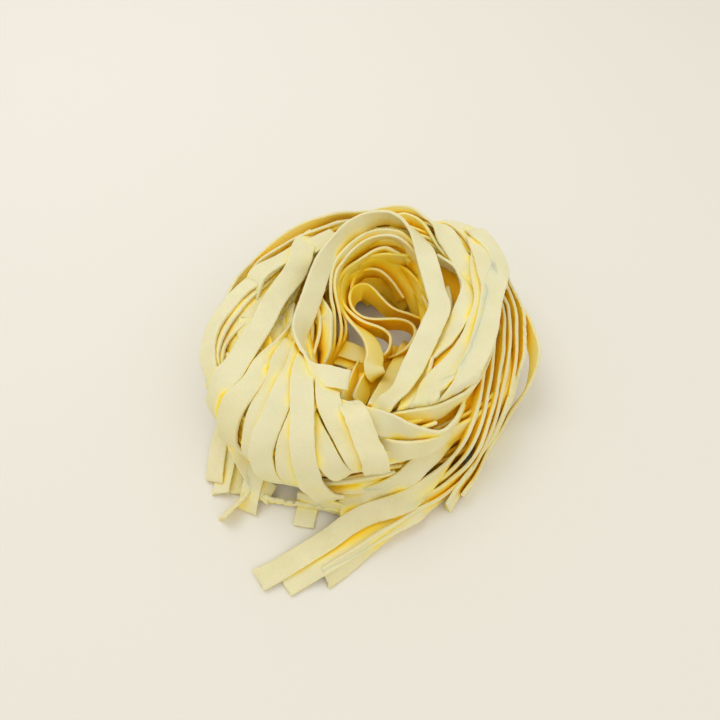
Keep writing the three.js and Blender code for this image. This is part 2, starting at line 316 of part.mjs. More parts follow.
// A ribbon: a box of one piece a row, with every ring of its corners set across the run.
function ribbon(width, anchor, rows, placeOf, normalOf, rollOf) {
  const pieces = rows.length - 1;
  const box = new THREE.BoxGeometry(1, 1, 1, 1, 1, pieces);
  box.deleteAttribute("normal");
  box.deleteAttribute("uv");
  const frames = rows.map((row, i) => {
    const place = placeOf(row);
    const tangent = placeOf(rows[Math.min(i + 1, pieces)])
      .sub(placeOf(rows[Math.max(i - 1, 0)])).normalize();
    const up = normalOf(row);
    up.addScaledVector(tangent, -up.dot(tangent)).normalize();
    const side = new THREE.Vector3().crossVectors(tangent, up);
    const roll = rad(rollOf(row));
    const face = up.multiplyScalar(Math.cos(roll)).addScaledVector(side, Math.sin(roll));
    const across = new THREE.Vector3().crossVectors(face, tangent);
    place.addScaledVector(across, -anchor * width / 2);
    return { place, face, across };
  });
  const corner = box.getAttribute("position");
  for (let v = 0; v < corner.count; v += 1) {
    const { place, face, across } = frames[Math.round((corner.getZ(v) + 0.5) * pieces)];
    const p = place.clone()
      .addScaledVector(across, corner.getX(v) * width)
      .addScaledVector(face, corner.getY(v) * RIBBON_THICKNESS);
    corner.setXYZ(v, p.x, p.y, Math.max(p.z, LOWEST));
  }
  return box;
}

function skinRibbon(width, anchor, stations, step = SEGMENT) {
  const placeOf = (row) => skin(row[0], row[1], row[2]);
  const rows = evenRun(smoothRun(stations, 8), placeOf, step);
  return ribbon(width, anchor, rows, placeOf, (row) => skinNormal(row[0], row[1], row[2]),
    (row) => row[3]);
}

function freeRibbon(width, anchor, stations, step) {
  const placeOf = (row) => new THREE.Vector3(row[0], row[1], row[2]);
  const rows = evenRun(smoothRun(stations, 8), placeOf, step);
  return ribbon(width, anchor, rows, placeOf, () => new THREE.Vector3(0, 0, 1), (row) => row[3]);
}

// The core: a torus laid inside the skin, flat where it stands.
function core() {
  const torus = new THREE.TorusGeometry(1, 0.5, CORE_SECTION, CORE_ROUND);
  torus.deleteAttribute("normal");
  torus.deleteAttribute("uv");
  const corner = torus.getAttribute("position");
  for (let v = 0; v < corner.count; v += 1) {
    const [x, y, z] = [corner.getX(v), corner.getY(v), corner.getZ(v)];
    const azimuth = THREE.MathUtils.radToDeg(Math.atan2(y, x));
    const section = THREE.MathUtils.radToDeg(Math.atan2(z, Math.hypot(x, y) - 1));
    const depth = (1 - Math.sin(rad(section))) / 2;
    const inset = around(CORE_INSET, azimuth) * (1 - (1 - INSET_AT_FOOT) * depth);
    const shelf = around(CORE_SHELF, azimuth) * depth ** 2;
    const p = skin(azimuth, section, -CORE_DEPTH, inset, shelf);
    const low = section < -45 && section > -135;
    corner.setXYZ(v, p.x, p.y, low ? 0 : p.z);
  }
  return torus;
}

const wasm = await Module();
wasm.setup();

function solid(geometry, tolerance = 1e-4) {
  const closed = mergeVertices(geometry, tolerance);
  return new wasm.Manifold(new wasm.Mesh({
    numProp: 3,
    vertProperties: new Float32Array(closed.getAttribute("position").array),
    triVerts: new Uint32Array(closed.index.array),
  }));
}

function geometryOf(body) {
  const mesh = body.getMesh();
  const geometry = new THREE.BufferGeometry();
  geometry.setAttribute("position", new THREE.BufferAttribute(mesh.vertProperties, 3));
  geometry.setIndex(Array.from(mesh.triVerts));
  return geometry;
}

// The main body alone: a hollow that the ribbons seal is filled, and a loose scrap dropped.
function mainBody(body) {
  return body.decompose().reduce((a, b) => (b.volume() > a.volume() ? b : a));
}

let nest = solid(core());
for (const [width, anchor, stations] of Object.values(SKIN_RIBBONS)) {
  nest = nest.add(solid(skinRibbon(width, anchor, stations)));
}
for (const [section, first, last] of COILS) {
  const stations = [];
  for (let azimuth = first; azimuth <= last; azimuth += COIL_STATION) {
    const sway = COIL_WANDER * Math.sin(rad(azimuth * 1.7 + section));
    stations.push([azimuth, section + sway, COIL_LIFT, 0]);
  }
  nest = nest.add(solid(skinRibbon(COIL_WIDTH, 0, stations, COIL_SEGMENT)));
}
for (const [width, anchor, stations] of Object.values(FREE_RIBBONS)) {
  const step = Math.abs(stations[0][0]) < 30 && stations[0][1] > -50 ? TIGHT_SEGMENT : SEGMENT;
  nest = nest.add(solid(freeRibbon(width, anchor, stations, step)));
}

let geometry = geometryOf(mainBody(nest));
geometry.translate(-NEST_X, NEST_Y, 0);
for (let pass = 0; pass < MERGE_PASSES; pass += 1) {
  geometry = geometryOf(mainBody(solid(geometry, SHORTEST_EDGE)));
}
geometry.computeVertexNormals();
geometry.computeBoundingBox();
const pasta = new THREE.MeshStandardMaterial({ color: PASTA_COLOUR, roughness: 0.75, metalness: 0 });
const nestMesh = new THREE.Mesh(geometry, pasta);
nestMesh.name = "pasta_nest";

const group = new THREE.Group();
group.add(nestMesh);
export default group;
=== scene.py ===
"""A nest of wide egg pasta ribbons, wound in a loose ring round an open hollow.

Lengths in the tables and dimensions are millimetres in the ring's own frame: its middle is on the
board, +X right, +Y to the back, +Z up. Everything is turned into metres in the CAD frame at the end.
"""

import math

import bpy
import numpy as np
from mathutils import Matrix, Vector
from mathutils.bvhtree import BVHTree


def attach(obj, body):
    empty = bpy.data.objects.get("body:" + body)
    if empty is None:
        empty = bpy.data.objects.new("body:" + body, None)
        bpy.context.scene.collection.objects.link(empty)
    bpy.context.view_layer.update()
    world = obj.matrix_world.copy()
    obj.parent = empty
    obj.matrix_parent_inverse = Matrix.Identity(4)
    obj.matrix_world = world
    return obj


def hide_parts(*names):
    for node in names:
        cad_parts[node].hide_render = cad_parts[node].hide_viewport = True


# ---------- the nest's driving dimensions ----------
RIBBON_THICKNESS = 1.4
NEST_HEIGHT = 40.0                # of the coil's skin, on which the ribbons lie
SHOULDER = 1.25                   # 1 is a round section, more is squarer
# Round the ring, every 30 degrees from +X: the skin's radii, how far the buried turns stay inside its
# outer shoulder, and how far they reach into the foot of the hollow.
OUTER_RADII = [70, 75, 68, 63, 63, 62, 69, 71, 74, 69, 70, 73]
HOLLOW_RADII = [25, 28, 35, 38, 29, 22, 20, 21, 29, 38, 36, 28]
INSET = [5, 1, 0, 0, 0, 0, 0, 0, 0, 4, 5.5, 5]
SHELF = [4, 3, 3, 0, 0, 0, 0, 3, 8, 12, 12, 10]
INSET_FROM, INSET_RISE = 5, 20    # the inset grows over this height, from this height on
SHELF_SHARE, SHELF_FADE = 1.3, 15   # the shelf's share at the board (1 is all), less 1 every 15 mm up
CORE_DEPTH = 8.0                  # the core lies this far inside the skin
CORE_ROUND, CORE_SECTION = 120, 36   # its faces round the ring and round the section
NEST_CENTRE = (1.19, -20.09)      # middle of the bounding box in plan, from the ring's middle
LOWEST = 0.15                     # least height of a ribbon's underside above the board
MM = 0.001                        # metres in a millimetre

# ---------- the ribbons' finish ----------
SEED = 7
STEP = 1.1                        # spacing of the rings of vertices along a ribbon
ROLL_PASSES = 6                   # how often the roll is evened out with its neighbours
EDGE_ROUND = 0.28                 # radius of a ribbon's cut edges
EDGE_FLAT, EDGE_DROP = 2.4, 0.9   # in radii: from where the face is flat, and how far the edge drops
RUFFLE = 0.20                     # height of the slow waves along each edge
CUP = 0.22                        # how far a ribbon's middle stands off its edges
CUP_MIDDLE = 0.4                  # share of it by which the middle rises; the edges sink by the rest
EDGE_WANDER = 0.05                # how far the cut edge strays from straight
WIDTH_WANDER = 0.025              # of the width
THICKNESS_WANDER = 0.08           # of the thickness
WIDTH_WAVE, THICKNESS_WAVE, CUP_WAVE = 60, 35, 70    # spacings of these waves along a ribbon,
RUFFLE_WAVES = (22, 26)           # of the slow waves of its left and right edge,
EDGE_WAVES = (5.0, 4.4)           # and of the fine ones
EDGE_SINES, TEAR_SINES = 6, 5     # sines in the fine waves, and in those of an end
END_SLANT = 0.22                  # most slant of an end, of half the width
END_TEAR, TEAR_WAVE = 0.25, 3.0   # how far a torn end strays, and the spacing of its waves
END_FADE = 4.0                    # length over which slant and tear fade out
CAP_REACH, CAP_THIN = 0.22, 0.45  # an end's last ring stands out by this and is this share thinner

# ---------- how ribbons lie on each other ----------
FLAT_ENOUGH = 0.75                # cosine of the steepest tilt at which a ribbon still lies on others
SUNK = -1.7                       # a ribbon set lower than this in the skin isn't laid on the others
LAY_REACH = 2.6                   # how far above a ribbon what it lies on is looked for
LAY_GAP = 0.05                    # left between two ribbons
LAY_MOST = 3.2                    # the most that a ribbon rises
LAY_SINK = LAY_MOST / 3           # the most that one edge goes down
LAY_SPOTS = (-0.92, -0.46, 0.0, 0.46, 0.92)   # places across a ribbon where it is tested
LAY_ROUNDS = 2                    # tests, each from where the last one left the ribbon
LAY_SPREAD = 3                    # rings on both sides that rise with one that has to
LAY_PASSES = 14                   # how often the rise is evened out

# ---------- how crowded a place is, which sets the painted shade ---
CROWD_RAYS = 14                   # rays cast from each place
CROWD_REACH = 11.0                # and how far they look
GOLDEN_ANGLE = 2.39996            # radians, spreads the rays evenly
PROBE_OFF = 0.12                  # they start this far off the surface
BOARD_CROWDS = 0.5                # what a ray counts that meets the board
SHOWN_SKIP, BURIED_SKIP = 2, 4    # rays start at every 2nd ring of a ribbon, every 4th of a buried turn

# ---------- the camera, in the ring's frame ----------
CAMERA_AT = (-3.0, -125.0, 213.0)
CAMERA_DOWN = 60.0                # degrees below level
CAMERA_LENS, CAMERA_SENSOR = 26.0, 36.0   # focal length and the square's side
CAMERA_NEAR = 0.01                # metres

# ---------- the ribbons ----------
# The letter of a ribbon's name says where it is: A on the left of the coil, C and L on its right, F in
# the fan in front, B in the bands that go on to the right of it, H in the loops round the hollow, P in
# the strands across its foot, and R, S, E and G in the bundle on the right with its trailing ends. The
# arch goes over the top, and D, serr, fold and sq are the loose ends at the front left.

# Ribbons that lie on the skin. Each is its width, the edge that its stations follow (0 the middle,
# 1 the edge that is left of its direction, -1 the other) and the stations: azimuth, angle round the
# section (0 outward, 90 up, 180 inward), lift off the skin, and roll about its own length.
SKIN_RIBBONS = {
    "A0": [8.5, 1, [[84, 72, 0, 70], [95, 70, 0, 50], [105, 67, 1, 45], [125, 56, 1, 70],
        [140, 49, 1, 62], [155, 46, 1, 60], [177, 54, 0, 55], [186, 52, -3, 50]]],
    "A0b": [8.5, 1, [[97, 74, -3, 70], [104, 85, -1, 72], [113, 85, 0, 75], [130, 74, 0, 75],
        [147, 57.5, 0, 60], [152.5, 47.5, -1, 55], [159, 41, -3, 50]]],
    "A1": [8.5, 1, [[172, 54, -6, 60], [181, 43, -2, 54], [192, 33, 0, 40], [204, 32, -0.2, 33],
        [217, 41, -2, 30], [224, 44, -4, 30]]],
    "A3": [8.5, -1, [[110, 90, -2, 0], [123, 93, 0, 0], [130.5, 87, 0, 0], [154, 67, -0.4, 6],
        [167, 62, -4, 10], [172, 60, -6.5, 10]]],
    "A4": [7.2, 1, [[138, 103, -3, 5], [157, 88.5, -1, 5], [179.5, 67.5, -0.3, 5],
        [191, 56.5, 0, 3], [207, 50, 0, 0], [222, 42, -3, 0]]],
    "A5b": [8.5, 1, [[126.5, 118.5, -3.4, 0], [137.5, 116, -2.8, 0], [157.5, 109.5, -2.6, 0],
        [168.5, 104.5, -3.5, 0], [184.5, 87.5, -2.3, 5], [194.5, 62.5, -1.8, 14],
        [204, 54, -1, 10], [215, 50, -1.5, 0], [222, 44, -3, 0]]],
    "F1": [9.5, 1, [[116, 104, -4.6, 0], [130, 113, -1.4, 0], [139.5, 119, 0.1, 0],
        [156.5, 120, 0.3, 0], [188.5, 109, 0.3, 0], [204, 90.5, 0.3, 0], [213.5, 67, 0.3, 0],
        [215.5, 56, 0.3, 0], [217.5, 45.5, 0.3, 0], [223, 4, 0, 0], [227, -15, -1, 0]]],
    "F2": [9, -1, [[161.5, 135, -4, -75], [181, 128.5, -3, -72], [197, 114, -2, -65],
        [210.5, 76.5, 0, -12], [214, 67, 0, 0], [218.5, 35, 0, 0], [222, 5, 0, 0], [226, -14, -1, 0]]],
    "F3": [9, -1, [[199.5, 115, -4, 0], [213.5, 96, -1.5, 0], [221.5, 84, -0.5, 0],
        [224.5, 62, -0.4, 0], [228, 39.5, -0.4, 0], [233, -3, -0.6, 0], [237, -18, -1.2, 0]]],
    "F4": [8.8, 1, [[212, 148, -6, 0], [224, 133, -2.5, 0], [234, 116, 0, 0],
        [235.5, 104.5, 0.2, 0], [239, 76, 0.2, 0], [240.5, 40, 0.2, 0], [241.5, 32, 0.2, 0],
        [244, 5, 0, 0], [247, -14, -1, 0]]],
    "F5": [8.8, -1, [[216, 150, -6, 0], [227, 134, -2.5, 0], [234.5, 116.5, 0, 0],
        [239.5, 76.5, 0.2, 0], [240.5, 50.5, 0.2, 0], [244.5, 4, 0, 0], [248, -14, -1, 0]]],
    "F6": [8.8, 1, [[220, 152, -6, 0], [238.5, 118, 0, 0], [248, 92.5, 0.4, 0],
        [255.5, 39.5, 0.4, 0], [256.5, 21.5, 0.4, 0], [259, -8, 0, 0], [262, -20, -1, 0]]],
    "F6b": [8.5, 1, [[232, 132, -5, 0], [240, 116, -2, 0], [256, 74, -1.2, 0],
        [263.5, 41.5, -1.5, 0], [265.5, 33, -3, 0], [271, 16, -12, 0]]],
    "F7": [9, -1, [[226, 142, -8, 0], [239, 120, -0.5, 0], [246.5, 101.5, 0, 0], [257, 73.5, 0, 0],
        [264.5, 40, -0.3, 0], [268, 25, -5, 0], [270.5, 17, -10, 0]]],
    "F8": [9.4, 1, [[262, 135, -4.4, 0], [264.5, 128, -2, 0], [267, 121, -0.7, 0],
        [271, 101, 0.8, 0], [274.5, 69.5, 0.8, 0], [276, 56, 0.8, 0], [276.5, 37, 0.8, 0]]],
    "La": [8.5, 1, [[281, 107, -1.2, 0], [291, 135, -0.8, 0], [303, 148, -0.8, 0],
        [319, 149, -0.5, 0], [326, 144, -0.3, 0], [362.5, 119, 0.5, 22], [383, 111, 1, 58],
        [391, 110, 1, 78], [404, 116, -1, 92]]],
    "C1a": [8.5, 1, [[281, 102.5, -1.7, 0], [290.5, 128, -0.8, 0], [302, 143, -0.7, 0],
        [316, 143, -0.3, 0], [325, 136.5, -0.3, 0], [365, 115.5, 0, 0], [384, 109, 0, 0],
        [394.5, 109.5, 0.6, 8], [408, 103.5, 1, 22], [414.5, 95, 1.5, 34], [424.5, 74.5, 2.5, 66],
        [429, 68, 3, 80], [434.5, 67.5, 3, 88], [441.5, 71, 2, 90], [448.5, 70, 0, 90]]],
    "C1c": [8.5, 1, [[24, 108, -7, 40], [35.5, 109, -1.5, 50], [49, 105.5, -1, 60],
        [63.5, 78.5, 0, 80], [71.5, 72.5, 0.5, 92], [74.5, 76, 0, 98], [85, 81.5, -3, 100]]],
    "Lc": [9, 1, [[286, 101.5, -1.4, 0], [297, 124.5, -0.8, 0], [303.5, 127.5, 0, 0],
        [315.5, 124.5, 0.3, 0], [344, 110, 0.3, 0], [361.5, 100.5, 0.3, 0], [377.5, 100.5, 0.2, 0],
        [386.5, 95.5, 0.1, 0], [394, 83.5, 0, 0], [406.5, 69, -0.6, 0], [421, 54, -3, 0]]],
    "C2": [8.5, -1, [[10.5, 67.5, -4, 20], [11, 60, -2.4, 20], [14, 53.5, -2.4, 15],
        [20.5, 58, -2.4, 10], [37, 64, -2.4, 0], [44, 62.5, -2.4, 0], [57, 53.5, -2.4, 0],
        [63, 50, -4, 0]]],
    "C3": [8.8, 1, [[293, 88, -1.2, 0], [301.5, 99.5, -0.9, 0], [314.5, 103.5, 0.2, 0],
        [323.5, 107, 0.2, 0], [358.5, 96.5, 0.2, 0], [374, 86, 0.2, 0], [380.5, 78, 0.2, 0],
        [386.5, 75, 0.2, 0], [395, 74.5, 0, 0], [400, 71.5, -1, 0], [407.5, 57, -3, 0]]],
    "A4b": [8.5, 1, [[143.5, 106, -4, 5], [158, 90.5, -2.2, 5], [166.5, 85.5, -1.8, 5],
        [180.5, 74, -1.3, 5], [187, 66, -1.2, 5], [198, 55, -1.2, 0], [203, 52, -1.5, 0],
        [209, 50, -3, 0]]],
    "C4": [8.8, -1, [[301, 78, -1.6, 0], [307, 87.5, -1.4, 0], [315.5, 87, -0.5, 0],
        [319.5, 85, 0, 0], [340, 83.5, 0, 0], [365, 73, 0, 0], [378.5, 73.5, 0, 0],
        [390.5, 67, -1, 0], [398, 51, -3, 0]]],
}

# Ribbons that hang free, with stations x, y, z and the tilt of the face from level.
FREE_RIBBONS = {
    "arch": [9, 1, [[2.5, -43, 31, -11], [6, -40, 33.5, -34], [9, -36, 36, -35],
        [11, -31, 37.5, -28], [13, -26, 38.5, 0], [16, -20, 39.5, 0], [22, -7, 41, 0],
        [25, 0, 41, 0], [24, 6, 41.5, 11], [21.5, 20.5, 42.5, 0], [19, 36.5, 44, 40],
        [16, 44, 45, 68], [13.5, 46, 45.5, 88], [10.5, 48, 45.5, 75], [6, 48.5, 45.5, 90],
        [1.5, 48, 45.5, 101], [-3, 46.5, 45.5, 120], [-9.5, 41, 45.5, 115], [-16, 32, 45.5, 126],
        [-22, 20.5, 45, 137], [-27, 3, 43, 143], [-30, -8, 40.5, 133], [-29, -14, 39.5, 121],
        [-26, -19.5, 39.5, 107], [-24, -22.5, 40, 92], [-20, -27, 41.5, 40], [-15, -28, 41, 17],
        [-9.5, -29, 40, 10], [-6.5, -29.5, 39.5, 8]]],
    "H2": [8.5, 1, [[25.5, 31, 38, 100], [17, 39.5, 40.5, 100], [12, 41.5, 41, 104],
        [6, 42, 41, 105], [0, 40, 41, 105], [-5, 36, 41, 104], [-11.5, 27.5, 41, 100],
        [-14.5, 22, 40, 96], [-15.5, 14.5, 39, 92], [-15, 6, 36.5, 90], [-14, 2, 35, 90],
        [-14, -10.5, 30, 90], [-17, -18.5, 25, 90], [-20, -22.5, 20, 90]]],
    "H3": [8.5, 1, [[26.5, 24.5, 35, 85], [23.5, 30, 36, 85], [19, 34.5, 38.5, 85],
        [17, 36.5, 39, 72], [12.5, 39, 39.5, 67], [7, 40, 39.5, 75], [0.5, 38, 39.5, 91],
        [-7.5, 30, 39.5, 84], [-11.5, 23.5, 38.5, 79], [-13, 20, 38.5, 95], [-14, 11.5, 36.5, 92],
        [-11, -0.5, 31, 90], [-11.5, -8, 27.5, 90], [-15, -14.5, 22, 90], [-17.5, -18, 17, 90]]],
    "H8": [8.5, 1, [[29, 32.5, 30, 88], [25.5, 34, 31, 88], [22, 35, 32, 88],
        [17.5, 34.5, 32.5, 90], [8, 35, 33, 97], [-0.5, 33, 33, 103], [-6.5, 29, 33, 110],
        [-11.5, 23.5, 33, 113], [-13, 15, 31.5, 113], [-11, 6.5, 30, 112], [-7.5, 0, 29.5, 117],
        [-4, -4.5, 28.5, 132], [-1, -9, 27.5, 141], [-0.5, -14, 26.5, 141], [-2, -18.5, 25.5, 166],
        [-1.5, -23, 24, 183], [-1, -24.5, 23, 182], [-0.5, -24.5, 20, 180], [-0.5, -23, 16, 180],
        [-0.5, -19.5, 11, 180], [-1, -15, 6.5, 180]]],
    "H4a": [8.5, 1, [[20.5, 32.5, 30, 80], [17, 34.5, 31.5, 80], [10.5, 36, 35, 80],
        [8.5, 37, 35, 80], [4, 35.5, 35, 85], [-0.5, 32.5, 35, 92], [-5, 29, 34.5, 95],
        [-10.5, 23.5, 34, 95], [-13, 16.5, 33, 95], [-12.5, 9.5, 31, 90], [-9.5, 2.5, 28.5, 90],
        [-9.5, -4.5, 25, 90], [-13.5, -11, 20.5, 90], [-15.5, -13.5, 17, 90]]],
    "H5": [8.5, 1, [[28.5, 12, 11, 110], [25, 21, 18.5, 120], [21.5, 29, 22.5, 132],
        [15.5, 34.5, 26.5, 122], [5.5, 34, 31, 92], [-3.5, 30, 32, 93], [-9, 25, 32, 101],
        [-12, 17.5, 31, 110], [-11, 10.5, 29.5, 116], [-7, 5, 28, 102], [-1.5, 1.5, 27, 92],
        [6, 0, 25.5, 90], [10, -2.5, 24, 90], [10.5, -5, 23.5, 90], [9.5, -9, 22, 90],
        [6, -12, 20.5, 90], [-0.5, -12, 18.5, 90]]],
    "H6": [8, 1, [[18, 21.5, 17, 90], [12, 27, 22.5, 74], [6.5, 30.5, 26, 75], [2, 31, 27, 76],
        [-3, 29, 27.5, 83], [-6, 24.5, 27, 94], [-7.5, 18.5, 25.5, 104], [-7.5, 16, 24, 104]]],
    "H7b": [8.5, 1, [[26, 23.5, 5, 118], [22.5, 26.5, 6.5, 118], [15.5, 30.5, 9.5, 118],
        [5, 31.5, 12.5, 118], [-1.5, 29, 13, 118], [-4, 26, 12, 118]]],
    "H7": [8.5, 1, [[26.5, 10.9, 14.5, 95], [19.9, 12.4, 17.2, 86], [11.1, 15, 19.8, 96],
        [2.5, 23.7, 23.3, 116], [-2.1, 24.4, 24.8, 118], [-6.2, 20.7, 26.2, 106],
        [-7.8, 14.1, 27, 100], [-6.1, 8.2, 26.6, 94], [-1.3, 5, 25.4, 90], [5.8, 4.9, 24, 90],
        [14.8, 6.3, 22.2, 90], [20.1, 4.9, 21.1, 90], [21.8, 0.9, 20.1, 90], [19, -4.6, 18.6, 90],
        [14.5, -8, 17.5, 90], [8.4, -10.3, 16.5, 90], [-1.2, -11.2, 14.8, 90]]],
    "P1": [8, 0, [[-16, -7, 21.5, 10], [-6.5, -9.5, 20, 5], [0.5, -12.5, 18.5, 0],
        [4.5, -15, 17.5, 0]]],
    "P2": [8, 0, [[-16.5, -10, 19, -5], [-7, -13, 18, -5], [0, -14.5, 16.5, -10],
        [4, -16, 15.5, -10]]],
    "P4a": [8, -1, [[-6, -39.5, 24, 40], [-3, -30, 19.5, 45], [-1, -21, 16, 50], [1, -16, 13.5, 50]]],
    "P4b": [8, -1, [[-2, -40.5, 26, 50], [0.5, -31, 21.5, 55], [2, -26.5, 19.5, 58],
        [7.5, -17, 15, 60]]],
    "P5": [9, 0, [[3.5, -44, 31, 8], [5, -38.5, 28, 10], [16.5, -8.5, 11, 10], [21, 2, 7, 8]]],
    "B1": [8.5, 1, [[2, -46.5, 36.5, 50], [6.5, -47, 38, 58], [16, -46, 40, 73],
        [24.5, -45, 41, 76], [32, -41, 40.5, 82], [38.5, -37, 40, 92], [44.5, -29, 39.5, 99],
        [52.5, -9, 37.5, 102], [57, 10, 34.5, 96]]],
    "B2": [9.2, 1, [[-14.5, -39, 36.5, 5], [-6.5, -43.5, 41, 16], [6.5, -47.5, 41.5, 36],
        [10.5, -49, 41, 48], [17.5, -52.5, 39.5, 68], [26, -53, 37, 80], [31.5, -49, 36, 88],
        [34, -45.5, 35, 88], [38, -35.5, 34, 89]]],
    "B3": [8.5, 1, [[-0.5, -49, 31, 58], [3.5, -53, 33.5, 58], [11, -56.5, 35, 62],
        [22.5, -55.5, 35, 70], [28, -52.5, 35, 80], [34, -45.5, 33.5, 82], [37, -40, 32.5, 82]]],
    "R0": [9, 0, [[-10, -71, 4, 10], [1, -68.5, 8, 28], [12, -64, 13, 38], [22, -58, 20.5, 42],
        [27, -54, 23, 45], [37, -43, 26, 55], [42, -35, 27, 60], [46, -26, 28, 60]]],
    "R1": [8.5, 1, [[-43, -95, 1.5, 0], [-35, -91, 1.5, 0], [-18, -81, 3.5, 8],
        [-10, -75.5, 5, 12], [-1, -71, 7, 18], [10, -68, 10, 32], [20, -64.5, 14.5, 62],
        [30, -59.5, 20.5, 95], [37, -53, 27, 108], [41.5, -43, 33, 112], [44.5, -32, 36, 110],
        [49, -8, 37, 104], [51, 5, 36, 98]]],
    "R2": [8.5, 1, [[14, -68, 4, 60], [22, -65.5, 7, 70], [30, -62, 11, 85],
        [36.5, -57.5, 18, 100], [41, -52, 25, 108], [44.5, -44, 30, 108], [46.5, -36, 33.5, 106],
        [48.5, -28, 35, 104], [52.5, -6, 35.5, 98], [54, 6, 34, 95]]],
    "R3": [8.5, 1, [[-33, -97, 1.5, 4], [7, -74.5, 6, 28], [27, -66, 9, 62], [34.5, -62, 12, 85],
        [42.5, -55.5, 21, 104], [47, -44.5, 29.5, 106], [52, -28, 34, 104], [57, -4, 34.5, 98],
        [56.5, 10, 35, 87], [54.5, 15.5, 35.5, 81], [51.5, 20, 34, 78]]],
    "R4": [8.5, 1, [[-18, -95, 2, 30], [-4, -87.5, 4.5, 55], [19, -74.5, 6.5, 95],
        [26, -71, 7, 100], [32.5, -67, 8.5, 104], [39, -62.5, 11.5, 104], [43, -57.5, 15.5, 104],
        [49, -46, 26, 104], [51.5, -38.5, 30, 104], [57.5, -16, 34, 102], [59.5, 2.5, 35, 94],
        [58.5, 7, 35.5, 90], [55, 16.5, 36.5, 82], [54, 26, 36, 75], [53, 31, 35, 72],
        [50, 36, 33, 70]]],
    "R5": [8.5, 1, [[38, -68, 7.5, 90], [46, -57, 10, 94], [54.5, -40, 25, 98],
        [57, -32, 28.5, 100], [60.5, -20, 30.5, 98], [62, -8, 32.5, 97], [63, 3.5, 32.5, 92],
        [59.5, 18, 35, 84], [54, 31, 35.5, 76], [50, 36.5, 35, 72], [45, 42, 33, 70]]],
    "R6": [8.5, 1, [[46, -51, 6, 85], [50, -45.5, 7.5, 88], [56, -36, 13, 90],
        [58.5, -31.5, 18.5, 92], [61, -26, 23.5, 94], [63, -20.5, 26.5, 96], [65.5, -13.5, 28, 98],
        [67, 3.5, 30.5, 92], [63.5, 15.5, 33, 84], [60, 25.5, 34.5, 78], [55.5, 34.5, 35.5, 74],
        [49.5, 42, 35.5, 70], [41, 50, 32.5, 65]]],
    "S5": [8.5, 1, [[48.5, -51, 6.5, 86], [55.5, -42.5, 8, 90], [62.5, -32.5, 12.5, 94],
        [68.5, -24.5, 21.5, 97], [71.5, -14, 28.5, 102], [70.5, -3.5, 29.5, 100], [68, 11, 27, 88],
        [66.5, 19, 25, 75]]],
    "E2": [8, 0, [[32, -72.5, 4, 70], [36, -66.5, 6, 74], [44.5, -55, 12, 86], [49, -48.5, 17, 90],
        [53, -42, 21, 92], [56, -34, 24, 92]]],
    "G2": [8.5, 0, [[-19, -63, 7, 5], [-9, -64, 9.5, 15], [2, -62.5, 11, 22], [12, -59, 14, 30],
        [21, -53, 18, 36], [29, -46, 21, 42]]],
    "D1": [8, 0, [[-55, -28, 24, 60], [-60, -37, 10, 30], [-62, -43, 5, 12], [-63, -52, 2.5, 4],
        [-63, -61, 1, 0]]],
    "D2": [7.5, 0, [[-56, -36, 8, 20], [-57.5, -44, 4, 6], [-58.5, -54, 1.5, 0], [-60, -66, 1, 0]]],
    "D3": [7.5, 0, [[-51, -39, 13, 20], [-53, -46, 7, 10], [-54.5, -55, 3, 4], [-54.5, -65.5, 1, 0]]],
    "D5": [8, 0, [[-40, -42, 17, 20], [-41.5, -48, 12, 12], [-43.5, -56, 7, 6], [-46, -64, 3.5, 2],
        [-48.5, -73, 1, 0]]],
    "D6": [7, 0, [[-42, -56, 3, 60], [-46, -62, 3.5, 62], [-51, -69, 3.5, 64],
        [-57.5, -76.5, 3.5, 62]]],
    "D7": [8, 0, [[-55, -44, 13, 10], [-52, -51, 10.5, 5], [-44, -63, 6.5, 0], [-39, -67, 3, 0]]],
    "serr": [3, 0, [[-51, -66, 3, 80], [-44, -68, 3, 80], [-19, -72, 3.5, 80], [-9, -74.5, 3.5, 80]]],
    "fold": [5, 0, [[-28, -68, 4.5, 50], [-23, -69.5, 5.5, 60], [-9, -73, 5.5, 60],
        [-1, -75, 4.5, 50]]],
    "sq": [8.4, 0, [[-20, -54, 8, 5], [-22, -60, 3.5, 2], [-23, -66, 1.5, 0], [-25.5, -79, 1, 0]]],
    "H6b": [8.5, 1, [[22, 24, 12, 115], [12, 31.5, 16.5, 115], [5, 32.5, 19, 115],
        [-1.5, 30.5, 20.5, 115], [-6, 24.5, 20, 115], [-6.5, 21, 18.5, 112]]],
    "P3": [7.5, 0, [[-8.5, -20.5, 18.5, 10], [-3, -21.5, 17.5, 10], [0, -22.5, 16.5, 5],
        [3, -23.5, 14.5, 0]]],
    "H1": [9.5, 1, [[-25.5, 19.5, 32, 46], [-22, 14, 33.5, 46], [-15, 0, 37.5, 44],
        [-14.5, -5, 36, 44], [-15, -15, 31.5, 47], [-17, -19, 29, 50], [-19.5, -22.5, 25, 56]]],
    "H0": [8.5, 1, [[-25, 11, 38, 72], [-20.5, 3, 36, 72], [-19.5, -7, 33, 72],
        [-22, -16, 29.5, 72], [-24, -20.5, 26, 75]]],
    "H0b": [8.5, 1, [[-27.5, 11, 35.5, 80], [-23.5, 2, 33.5, 80], [-23, -8.5, 30, 80],
        [-24.5, -14, 27.5, 80], [-27, -18, 24.5, 80]]],
    "P6": [9, 0, [[2, -31, 19, 10], [6, -22, 17, 10], [12, -9.5, 13, 5], [16, -2, 10, 0]]],
    "P7": [9, 0, [[-12, -31.5, 20, 20], [-6, -24.5, 17, 10], [-2, -22.5, 15.5, 5], [1.5, -21, 14, 0]]],
}

